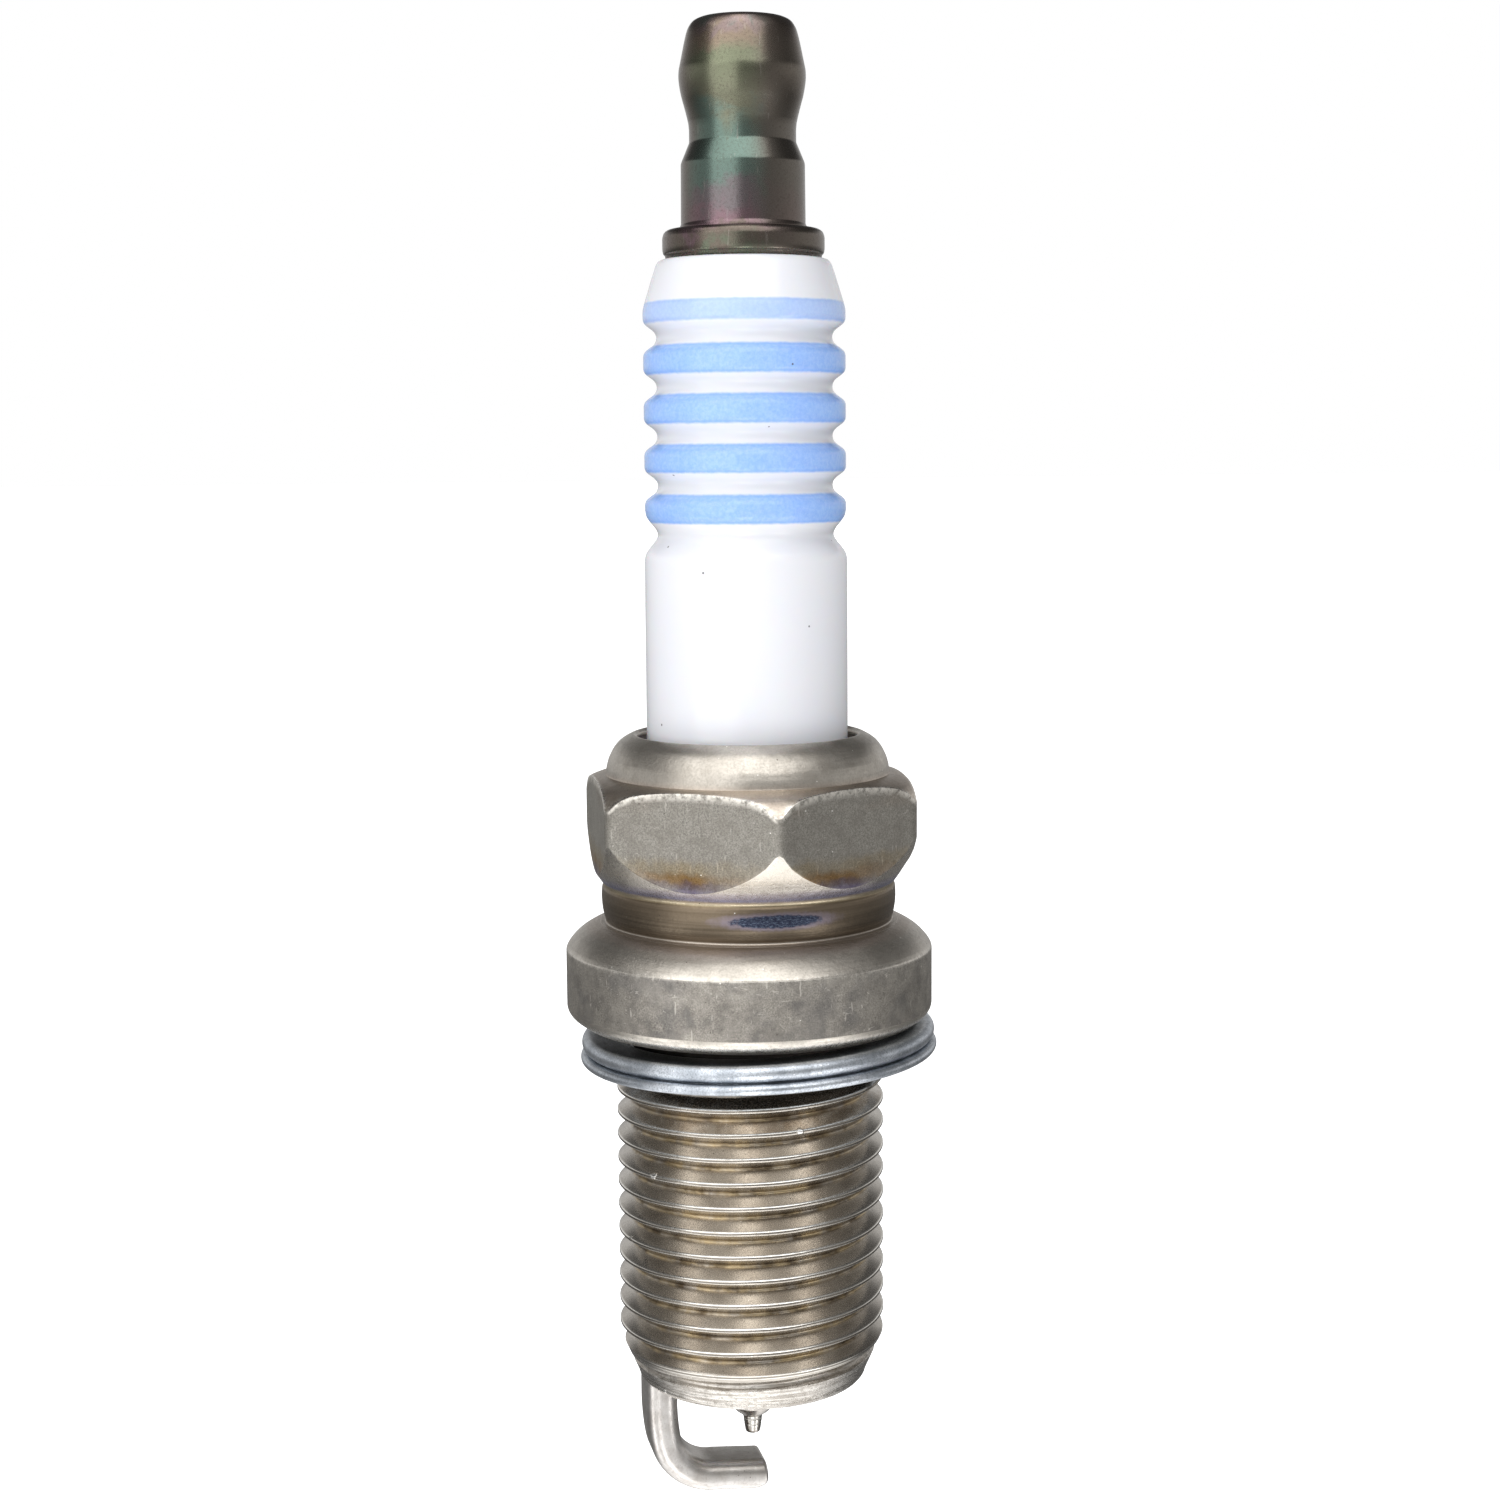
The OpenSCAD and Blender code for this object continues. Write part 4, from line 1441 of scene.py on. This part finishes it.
@dataclass
class GroundElectrode:
    """Bent nickel strap welded to the shell's end; the lower edge of its cut end is rounded.

    Attributes:
        thickness: Thickness of the strap.
        width: Width of the strap.
        outer_r: Distance of the leg's outer face from the axis.
        over: How far the arm's end stands past the axis.
        top: Height of the arm's upper face on the axis.
        lean: Angle in degrees that the leg leans in before the bend.
        lean_radius: Radius of that first gentle curve.
        start: Height at which it begins.
        droop: Angle in degrees by which the arm falls towards its end.
        foot: Height of the leg's upper end, inside the shell.
        leg_top: Height from which the leg hangs free.
        corner: Radius of the section's corners.
        nose: Length over which the end's lower edge is rounded.
        nose_rise: How far that edge rises.
        end_break: Length of the small break all round the end.
        end_inset: Depth of that break.
    """

    thickness: float = 1.62
    width: float = 2.95
    outer_r: float = 5.83
    over: float = 0.55
    top: float = -23.70
    lean: float = 9.0
    lean_radius: float = 13.0
    start: float = -20.1
    droop: float = 3.8
    foot: float = -18.90
    leg_top: float = -19.1
    corner: float = 0.68
    nose: float = 0.9
    nose_rise: float = 0.55
    end_break: float = 0.2
    end_inset: float = 0.24

    def stations(self) -> list[tuple[float, float, float]]:
        """Places along the strap.

        Returns:
            The position in x and z, and the heading in degrees, 0 down and 90 along the arm.
        """
        x0 = -(self.outer_r - self.thickness / 2)
        lean, droop = math.radians(self.lean), math.radians(self.droop)
        slope = math.tan(droop)
        arm = self.top - self.thickness / 2 / math.cos(droop)
        x1 = x0 + self.lean_radius * (1 - math.cos(lean))
        z1 = self.start - self.lean_radius * math.sin(lean)
        drop = math.cos(droop) - math.sin(lean) - (math.cos(lean) + math.sin(droop)) * slope
        r = (z1 - arm + x1 * slope) / drop
        cx, cz = x1 + r * math.cos(lean), z1 + r * math.sin(lean)
        out = [(x0, self.foot, 0.0)]
        out += [(x0, float(z), 0.0) for z in np.linspace(self.leg_top, self.start, 6)]
        for h in np.linspace(0, self.lean, 9)[1:]:
            a = math.radians(h)
            inwards, down = self.lean_radius * (1 - math.cos(a)), self.lean_radius * math.sin(a)
            out.append((x0 + inwards, self.start - down, float(h)))
        for h in np.linspace(self.lean, 90 + self.droop, 33)[1:]:
            a = math.radians(h)
            out.append((cx - r * math.cos(a), cz - r * math.sin(a), float(h)))
        for x in np.linspace(out[-1][0], self.over - self.end_break, 30)[1:]:
            out.append((float(x), arm - float(x) * slope, 90.0 + self.droop))
        return out

    def section(self, inset: float, steps: int = 10) -> np.ndarray:
        """Rounded cross-section of the strap, drawn in from its edge.

        Args:
            inset: How far it is drawn in.
            steps: Chords at each corner.

        Returns:
            Points as thickness and width.
        """
        t, w = self.thickness / 2 - inset, self.width / 2 - inset
        c = max(self.corner - inset, 0.05)
        out: list[tuple[float, float]] = []
        for sx, sy, a0 in ((1, 1, 0), (-1, 1, 90), (-1, -1, 180), (1, -1, 270)):
            for a in np.radians(np.linspace(a0, a0 + 90, steps + 1)):
                out.append((sx * (t - c) + c * math.cos(a), sy * (w - c) + c * math.sin(a)))
        return np.array(out)

    def build(self) -> None:
        """Sweeps the strap, with the lower edge of its end rounded off."""
        rings: list[np.ndarray] = []
        tail = self.stations()
        x, z, h = tail[-1]
        steps = [(s, 0.0) for s in tail]
        slope = math.tan(math.radians(self.droop))
        for a in np.radians([20, 40, 60, 75, 90]):
            ahead = self.end_break * math.sin(a)
            steps.append(((x + ahead, z - ahead * slope, h), self.end_inset * (1 - math.cos(a))))
        for (x, z, h), inset in steps:
            a = math.radians(h)
            sec = self.section(inset)
            if h > 90.0:
                near = min(max(1.0 - (self.over - x) / self.nose, 0.0), 1.0)
                rise = self.nose_rise * (1 - math.sqrt(1 - near * near))
                sec[:, 0] = np.where(sec[:, 0] > 0, sec[:, 0] * (1 - rise / (self.thickness / 2)), sec[:, 0])
            ring = np.stack([x - sec[:, 0] * math.cos(a), sec[:, 1], z - sec[:, 0] * math.sin(a)], axis=1)
            rings.append(ring)
        strap = MeshBuilder("ground_electrode_strap").from_rings(np.array(rings), caps=True)
        dress(strap, ElectrodeNickel("electrode_nickel").make(), "plug", "strap_nickel", "ground_electrode")


@dataclass
class CentreElectrode:
    """Nickel electrode with its cone, and the fine pin welded to it.

    Attributes:
        shank_r: Radius of the shank.
        cone_top: Height at which the cone starts.
        cone_end: Height at which the pin starts.
        pin_end: Height of the pin's end.
        pin_r: Radius of the pin at its end.
    """

    shank_r: float = 1.27
    cone_top: float = -20.90
    cone_end: float = -21.59
    pin_end: float = -22.55
    pin_r: float = 0.40

    def build(self) -> None:
        """Turns the electrode and its pin."""
        end = self.cone_end
        outline = rounded([
            (0.0, end), (0.48, end), (0.60, end + 0.09), (0.86, end + 0.28), (1.10, end + 0.51),
            (self.shank_r, self.cone_top), (self.shank_r, -12.0), (self.shank_r, -7.05),
            (1.85, -6.45), (1.85, -5.4), (1.2, -5.2), (1.1, -4.4), (0.0, -4.4),
        ], 0.05)
        shank = MeshBuilder("centre_electrode_body").lathe(outline, 96)
        paint = ElectrodeNickel("electrode_tip_nickel", (0.66, 0.63, 0.60), 0.24).make()
        dress(shank, paint, "plug", "electrode_nickel", "centre_electrode")
        r, end = self.pin_r, self.pin_end
        pin = rounded([
            (0.0, end), (r * 0.62, end + 0.015), (r * 0.90, end + 0.06), (r, end + 0.17),
            (r + 0.055, -22.05), (r + 0.045, -22.02), (r + 0.065, -21.95), (0.495, -21.75),
            (0.48, -21.72), (0.505, -21.66), (0.535, -21.48), (0.54, -21.42), (0.0, -21.40),
        ], 0.03)
        tip = MeshBuilder("firing_pin").lathe(pin, 72)
        paint = ElectrodeNickel("pin_metal", (0.72, 0.725, 0.69), 0.17).make()
        dress(tip, paint, "plug", "tip_metal", "firing_tip")


@dataclass
class Insulator:
    """Ribbed porcelain insulator.

    Attributes:
        top: Height of its top face.
        body_r: Radius of the smooth length.
        rib_r: Radius over the ribs.
        groove_r: Radius in the grooves.
        pitch: Distance between ribs.
        rib_top: Height of the top rib.
        bands: Lowest and highest height of each painted band.
        flat: Half the width of a rib's flat crest.
        crown: Radius of the round beside it.
        hollow: Radius in the groove.
        steep: Slope of a rib's side in degrees.
        rib_steps: Points to one rib.
    """

    top: float = 38.66
    body_r: float = 5.15
    rib_r: float = 5.10
    groove_r: float = 4.43
    pitch: float = 2.46
    rib_top: float = 36.04
    bands: tuple[tuple[float, float], ...] = (
        (35.50, 36.53), (32.96, 34.41), (30.52, 31.98), (28.10, 29.52), (25.60, 27.04),
    )
    flat: float = 0.28
    crown: float = 0.45
    hollow: float = 0.55
    steep: float = 50.0
    rib_steps: int = 24

    def fullness(self, off: float) -> float:
        """How far the outline stands out beside a rib.

        Args:
            off: Distance from the rib's middle.

        Returns:
            One on the rib, nought in a groove.
        """
        flat, crown, hollow, steep = self.flat, self.crown, self.hollow, math.radians(self.steep)
        half, round_w, hollow_w = self.pitch / 2, crown * math.sin(steep), hollow * math.sin(steep)
        slope_w = half - flat - round_w - hollow_w
        first = crown * (1 - math.cos(steep))
        total = first + slope_w * math.tan(steep) + hollow * (1 - math.cos(steep))
        u = max(off - flat, 0.0)
        if u < round_w:
            fall = crown - math.sqrt(crown * crown - u * u)
        elif u < round_w + slope_w:
            fall = first + (u - round_w) * math.tan(steep)
        else:
            fall = total - hollow + math.sqrt(hollow * hollow - (half - off) ** 2)
        return 1.0 - fall / total

    def ribs(self) -> Outline:
        """Outline of the ribbed length, from its foot to its top rib.

        Returns:
            The outline.
        """
        out: Outline = []
        for i in range(4 * self.rib_steps, -1, -1):
            t = i / self.rib_steps
            f = self.fullness(abs(t - round(t)) * self.pitch)
            out.append((self.groove_r + (self.rib_r - self.groove_r) * f, self.rib_top - self.pitch * t))
        return out

    def build(self) -> None:
        """Turns and paints the insulator."""
        b, t = self.body_r, self.top
        foot = flowing([
            (b, 23.55), (b - 0.02, 23.80), (b - 0.10, 24.06), (b - 0.30, 24.34), (4.62, 24.62),
            (4.47, 24.92), (4.55, 25.22), (4.83, 25.58), (5.03, 25.88),
            (self.rib_r, self.rib_top - 4 * self.pitch),
        ], 5)
        outline: Outline = [(1.31, -20.25), (1.9, -20.25)]
        outline += arc(1.85, -19.90, 0.35, -80, 0, 6)
        outline += [(3.5, -8.9), (3.7, -7.80), (4.75, -6.94), (4.75, 1.05)]
        outline += [(5.8, 2.2), (5.9, 2.45), (5.9, 8.45), (5.8, 8.6), (b, 9.6), (b, 14.0), (b, 19.0)]
        outline += foot + self.ribs()[1:]
        outline += flowing([(5.09, 36.2), (5.02, 36.5), (4.93, 36.8), (4.70, 37.55), (4.42, 38.40)], 3)
        outline += flowing([(4.36, 38.50), (4.27, 38.60), (4.10, t), (3.9, t)], 3)
        outline += [(2.0, t), (2.0, t - 2.6)]
        piece = MeshBuilder("insulator_body", 40.0).lathe(outline, 192)
        paint = GlazedPorcelain(bands=self.bands).make()
        dress(piece, paint, "plug", "porcelain", "insulator")


@dataclass
class Terminal:
    """Stud with its collar and the nut that screws on it.

    Attributes:
        seat: Height of the collar's underside.
        collar_r: Radius of the collar.
        collar_t: Thickness of the collar.
        thread_r: Major radius of the stud's thread.
        top: Height of the nut's top.
        hole_r: Radius of the nut's hole.
    """

    seat: float = 38.66
    collar_r: float = 4.07
    collar_t: float = 1.49
    thread_r: float = 1.97
    top: float = 50.5
    hole_r: float = 2.03

    def build(self) -> None:
        """Builds the stud, its thread and the nut."""
        paint = BlackNickel().make()
        c, low, high = self.collar_r, self.seat, self.seat + self.collar_t
        stud = rounded([
            (0.0, 7.2), (1.6, 7.2), (1.6, low - 2), (1.9, low - 1.8), (1.9, low), (c - 0.30, low),
            (c - 0.17, low + 0.05), (c - 0.12, low + 0.22), (c - 0.04, low + 0.30), (c, low + 0.48),
            (c, high - 0.40), (c - 0.08, high - 0.16), (c - 0.26, high - 0.03), (c - 0.5, high),
            (1.72, high), (1.64, high + 0.06), (1.64, high + 0.55),
        ], 0.09, 4)
        collar = MeshBuilder("terminal_stud_body").lathe(stud, 144)
        dress(collar, paint, "plug", "terminal_plating", "terminal_stud")
        thread = HelicalThread(
            "terminal_stud_thread", crest_r=self.thread_r, root_r=1.56, pitch=0.7,
            top=48.10, top_r=1.60, top_lead=0.35,
            bottom=high + 0.55, bottom_r=1.64, bottom_lead=0.3, crest_z=high + 2.0, bearing=0.0,
            columns=72, rows=16,
        ).make(paint)
        dress(thread, paint, "plug", "terminal_plating", "terminal_stud")
        outline = rounded([(1.60, 48.10), (1.55, 48.30), (1.40, 48.45), (0.0, 48.45)], 0.05)
        point = MeshBuilder("terminal_stud_point").lathe(outline, 72)
        dress(point, paint, "plug", "terminal_plating", "terminal_stud")
        self.nut(paint)

    def nut(self, paint: bpy.types.Material) -> None:
        """Turns the nut: barrel, waist and head, with its blind hole.

        Args:
            paint: Its plating.
        """
        base = self.seat + self.collar_t
        hole = self.hole_r
        head = flowing([
            (2.70, 45.35), (2.80, 45.78), (2.91, 46.2), (3.02, 46.6), (3.10, 46.98), (3.155, 47.35),
            (3.172, 47.62), (3.155, 47.92), (3.10, 48.2), (3.03, 48.54), (2.95, 48.93), (2.87, 49.3),
            (2.755, 49.75), (2.66, 49.98), (2.50, 50.22), (2.28, 50.36), (2.0, 50.43), (1.2, 50.49),
            (0.0, self.top),
        ], 4)
        outline = rounded([
            (hole + 0.35, base), (3.19, base), (3.20, base + 0.05), (3.17, base + 0.16),
            (3.12, base + 0.26), (3.12, base + 0.6), (3.10, 43.36), (3.05, 43.50), (2.74, 44.24),
            (2.675, 44.38), (2.67, 44.6), (2.67, 45.02),
        ], 0.07)
        inner = [(0.0, 49.4), (hole, 48.7), (hole, base + 0.35), (hole + 0.35, base)]
        piece = MeshBuilder("terminal_nut_body", 28.0).lathe(outline + head + inner, 144)
        dress(piece, paint, "terminal_nut", "terminal_plating", "terminal_nut")


@dataclass
class Gasket:
    """Folded steel ring that hangs loose and leaning on the neck.

    Attributes:
        outer_r: Radius over the lower fold.
        hole_r: Radius of its hole.
        seam: Depth of its seam below the seat.
        lean: Lean in degrees.
        bearing: Direction of its highest side in degrees.
        play: How far it hangs off centre.
    """

    outer_r: float = 9.25
    hole_r: float = 6.72
    seam: float = 1.35
    lean: float = 2.0
    bearing: float = -12.0
    play: float = 0.45

    def build(self) -> None:
        """Turns the folded section, then lays it at its lean."""
        o, i = self.outer_r, self.hole_r
        upper = arc(o - 0.56, 0.485, 0.465, -64, 90, 16)
        lower = arc(o - 0.275, -0.275, 0.275, -90, 74, 14)
        outline: Outline = [(i, 0.0), (i, -0.34), (i + 0.08, -0.48), (i + 0.30, -0.55), (i + 1.2, -0.55)]
        outline += lower
        outline += [(o - 0.32, -0.004), (o - 0.70, -0.03), (o - 0.70, 0.03), (o - 0.42, 0.035)]
        outline += upper
        outline += [(i + 1.05, 0.95), (i + 0.70, 0.90), (i + 0.45, 0.74), (i + 0.36, 0.50)]
        outline += [(i + 0.36, 0.18), (i + 0.20, 0.05)]
        piece = MeshBuilder("gasket_ring").lathe(outline, 192, closed=True)
        turn = Matrix.Rotation(math.radians(self.bearing), 4, "Z")
        lean = Matrix.Rotation(math.radians(-self.lean), 4, "Y")
        shift = Matrix.Translation(Vector((self.play, 0.0, -self.seam)) * MM)
        piece.data.transform(turn @ shift @ lean)
        dress(piece, ZincPlate().make(), "gasket", "gasket_plating", "gasket")


@dataclass
class HiddenParts:
    """Seals, core and packing, which keep their CAD shapes.

    Attributes:
        nodes: The frame's CAD nodes by name.
    """

    nodes: dict[str, bpy.types.Object]

    def build(self) -> None:
        """Gives each hidden CAD node its own material."""
        glass = Filler("seal_glass", (0.05, 0.05, 0.055), 0.0, 0.25)
        steel = Filler("packing_steel", (0.5, 0.5, 0.5), 1.0, 0.35)
        table = {
            "copper_core": (Filler("core_copper", (0.80, 0.42, 0.25), 1.0, 0.3), "core_copper"),
            "lower_glass_seal": (glass, "seal_glass"),
            "upper_glass_seal": (glass, "seal_glass"),
            "resistor": (Filler("resistor_mix", (0.07, 0.065, 0.065), 0.0, 0.8, 10.0), "resistor_mix"),
            "seat_packing": (steel, "packing_steel"),
            "lower_packing_ring": (steel, "packing_steel"),
            "upper_packing_ring": (steel, "packing_steel"),
            "talc_fill": (Filler("talc_powder", (0.80, 0.78, 0.72), 0.0, 0.9, 14.0), "talc_powder"),
        }
        made: dict[str, bpy.types.Material] = {}
        for name, (finish, slot) in table.items():
            made.setdefault(finish.name, finish.make())
            node = self.nodes[name]
            node.data.materials.clear()
            node.data.materials.append(made[finish.name])
            LOG.info("%s keeps its CAD shape", name)


# ---------------------------------------------------------------- studio


def towards(bearing: float, height: float) -> Vector:
    """Direction from the plug to something round it.

    Args:
        bearing: Degrees round the axis.
        height: Degrees above the horizon.

    Returns:
        The direction, one long.
    """
    a, e = math.radians(bearing), math.radians(height)
    return Vector((math.sin(a) * math.cos(e), -math.cos(a) * math.cos(e), math.sin(e)))


@dataclass(frozen=True)
class SoftBox:
    """One soft light.

    Attributes:
        name: Its name.
        bearing: Degrees to the right of the camera's own bearing.
        height: Degrees above the horizon.
        distance: Metres from the plug's middle.
        size: Width and height in metres.
        power: Watts.
    """

    name: str
    bearing: float
    height: float
    distance: float
    size: tuple[float, float]
    power: float

    def place(self, azimuth: float, middle: float) -> None:
        """Hangs the box round the plug, facing it.

        Args:
            azimuth: The camera's bearing in degrees.
            middle: Height in metres that the box faces.
        """
        data = bpy.data.lights.new(self.name, "AREA")
        data.shape = "RECTANGLE"
        data.size, data.size_y = self.size
        data.energy = self.power
        lamp = bpy.data.objects.new(self.name, data)
        back = towards(azimuth + self.bearing, self.height)
        where = Matrix.Translation(Vector((0, 0, middle)) + back * self.distance)
        lamp.matrix_world = where @ back.to_track_quat("Z", "Y").to_matrix().to_4x4()
        bpy.context.scene.collection.objects.link(lamp)


@dataclass
class Studio:
    """Plain floor, soft lights and the camera.

    Attributes:
        azimuth: Camera's bearing in degrees.
        elevation: Camera's height angle in degrees.
        distance: Camera's distance from its aim in millimetres.
        aim_z: Height it aims at.
        aim_right: How far to the right of the axis it aims.
        roll: Its roll in degrees.
        lens: Focal length in millimetres on a 36 mm sensor.
        tent: Strength of the light tent.
        front: Its brightness on the camera's side, from straight down to straight up.
        rear: The same behind the plug.
        sides: Where the one gives way to the other.
        boxes: Soft boxes: a key to the left of the camera, a broad one over it, a small one
            straight overhead and three low ones.
        middle: Height in metres that the boxes face.
    """

    azimuth: float = -12.0
    elevation: float = 6.91
    distance: float = 126.8
    aim_z: float = 13.91
    aim_right: float = 0.13
    roll: float = 0.45
    lens: float = 59.26
    tent: float = 1.0
    front: tuple[tuple[float, float], ...] = (
        (-1.0, 1.75), (-0.75, 1.45), (-0.45, 0.85), (-0.22, 0.55), (0.0, 0.40), (0.2, 0.32), (0.6, 0.42),
        (0.92, 1.5),
    )
    rear: tuple[tuple[float, float], ...] = (
        (-1.0, 2.0), (-0.86, 1.45), (-0.64, 0.12), (-0.16, 0.18), (0.04, 0.70), (0.24, 0.75),
        (0.38, 0.10), (0.90, 0.10),
    )
    sides: tuple[tuple[float, float], ...] = ((-0.20, 0.0), (0.75, 1.0))
    boxes: tuple[SoftBox, ...] = (
        SoftBox("key_box", bearing=-35.5, height=6.0, distance=0.42, size=(0.40, 0.38), power=0.66),
        SoftBox("top_box", bearing=-11.0, height=52.0, distance=0.42, size=(0.80, 0.36), power=1.36),
        SoftBox("zenith_box", bearing=0.0, height=84.0, distance=0.40, size=(0.16, 0.20), power=0.16),
        SoftBox("low_left_box", bearing=-62.0, height=-35.0, distance=0.40, size=(0.10, 0.16), power=0.14),
        SoftBox("low_middle_box", bearing=-2.0, height=-42.0, distance=0.40, size=(0.11, 0.16), power=0.19),
        SoftBox("low_right_box", bearing=55.0, height=-36.0, distance=0.40, size=(0.10, 0.16), power=0.17),
    )
    middle: float = 0.014

    def axes(self) -> tuple[Vector, Vector, Vector]:
        """The camera's directions before its roll.

        Returns:
            Its right, up and backward directions.
        """
        a = math.radians(self.azimuth)
        right = Vector((math.cos(a), math.sin(a), 0.0))
        back = towards(self.azimuth, self.elevation)
        return right, back.cross(right), back

    def build(self) -> None:
        """Sets up floor, world, lights and camera."""
        self.camera()
        self.floor()
        self.world()
        self.lights()
        view = bpy.context.scene.view_settings
        view.view_transform = "Standard"
        view.look = "None"

    def camera(self) -> None:
        """Places the camera."""
        right, up, back = self.axes()
        aim = (Vector((0, 0, self.aim_z)) + right * self.aim_right) * MM
        data = bpy.data.cameras.new("studio_camera")
        data.lens, data.sensor_width = self.lens, 36.0
        data.clip_start, data.clip_end = 0.005, 50.0
        cam = bpy.data.objects.new("studio_camera", data)
        r = math.radians(self.roll)
        x = right * math.cos(r) - up * math.sin(r)
        y = up * math.cos(r) + right * math.sin(r)
        place = aim + back * self.distance * MM
        cam.matrix_world = Matrix((
            (x.x, y.x, back.x, place.x), (x.y, y.y, back.y, place.y), (x.z, y.z, back.z, place.z),
            (0, 0, 0, 1),
        ))
        bpy.context.scene.collection.objects.link(cam)
        bpy.context.scene.camera = cam

    def floor(self) -> None:
        """A wide pale floor that glows evenly like a light table, and so takes no shadow."""
        size, z = 6.0, -0.045
        mesh = bpy.data.meshes.new("floor")
        corners = [(-size, -size, z), (size, -size, z), (size, size, z), (-size, size, z)]
        mesh.from_pydata(corners, [], [(0, 1, 2, 3)])
        piece = bpy.data.objects.new("floor", mesh)
        bpy.context.scene.collection.objects.link(piece)
        piece.visible_glossy = piece.visible_diffuse = piece.visible_shadow = False
        n = Nodes("floor_glow")
        tone = n.mix(n.noise(0.02), (0.97, 0.97, 0.97), (1.0, 1.0, 1.0))
        glow = n.surface(Base_Color=tone, Roughness=0.9, Emission_Color=tone, Emission_Strength=1.0)
        mesh.materials.append(glow)

    def world(self) -> None:
        """A light tent: bright above and below, dim at the horizon, and dimmer still behind the plug."""
        world = bpy.data.worlds.new("studio")
        bpy.context.scene.world = world
        world.use_nodes = True
        tree = world.node_tree
        tree.nodes.clear()
        link = tree.links.new
        out = tree.nodes.new("ShaderNodeOutputWorld")
        seen = tree.nodes.new("ShaderNodeBackground")
        seen.inputs["Color"].default_value = (1.0, 1.0, 1.0, 1.0)
        seen.inputs["Strength"].default_value = 1.0
        lit = tree.nodes.new("ShaderNodeBackground")
        coords = tree.nodes.new("ShaderNodeTexCoord")
        split = tree.nodes.new("ShaderNodeSeparateXYZ")
        link(coords.outputs["Generated"], split.inputs[0])
        facing = tree.nodes.new("ShaderNodeVectorMath")
        facing.operation = "DOT_PRODUCT"
        _, _, back = self.axes()
        facing.inputs[1].default_value = Vector((back.x, back.y, 0)).normalized()
        link(coords.outputs["Generated"], facing.inputs[0])
        both = tree.nodes.new("ShaderNodeMix")
        both.data_type = "RGBA"
        link(self.levels(tree, facing.outputs["Value"], self.sides), both.inputs["Factor"])
        link(self.levels(tree, split.outputs[2], self.rear), both.inputs[6])
        link(self.levels(tree, split.outputs[2], self.front), both.inputs[7])
        link(both.outputs[2], lit.inputs["Color"])
        lit.inputs["Strength"].default_value = self.tent
        path = tree.nodes.new("ShaderNodeLightPath")
        mix = tree.nodes.new("ShaderNodeMixShader")
        link(path.outputs["Is Camera Ray"], mix.inputs["Fac"])
        link(lit.outputs[0], mix.inputs[1])
        link(seen.outputs[0], mix.inputs[2])
        link(mix.outputs[0], out.inputs["Surface"])

    def levels(self, tree: bpy.types.NodeTree, value: Socket, stops: Sequence[tuple[float, float]]) -> Socket:
        """Runs a value from -1 to 1 through a row of brightnesses.

        Args:
            tree: The world's nodes.
            value: The value.
            stops: Value and brightness pairs.

        Returns:
            The brightness.
        """
        half = tree.nodes.new("ShaderNodeMapRange")
        half.inputs["From Min"].default_value = -1.0
        tree.links.new(value, half.inputs["Value"])
        ramp = tree.nodes.new("ShaderNodeValToRGB")
        elements = ramp.color_ramp.elements
        while len(elements) < len(stops):
            elements.new(0.5)
        for element, (at, level) in zip(elements, stops):
            element.position = 0.5 + 0.5 * at
            element.color = (level, level, level, 1.0)
        tree.links.new(half.outputs[0], ramp.inputs["Fac"])
        return ramp.outputs["Color"]

    def lights(self) -> None:
        """Hangs the soft boxes."""
        for box in self.boxes:
            box.place(self.azimuth, self.middle)


def main() -> None:
    """Builds every sub-assembly round the frame."""
    logging.basicConfig(level=logging.INFO, format="%(name)s %(message)s")
    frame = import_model()
    builders: list[Callable[[], None]] = [
        Studio().build, Shell().build, GroundElectrode().build, CentreElectrode().build,
        Insulator().build, Terminal().build, Gasket().build, HiddenParts(frame["nodes"]).build,
    ]
    for build in builders:
        build()


if __name__ == "__main__":
    main()
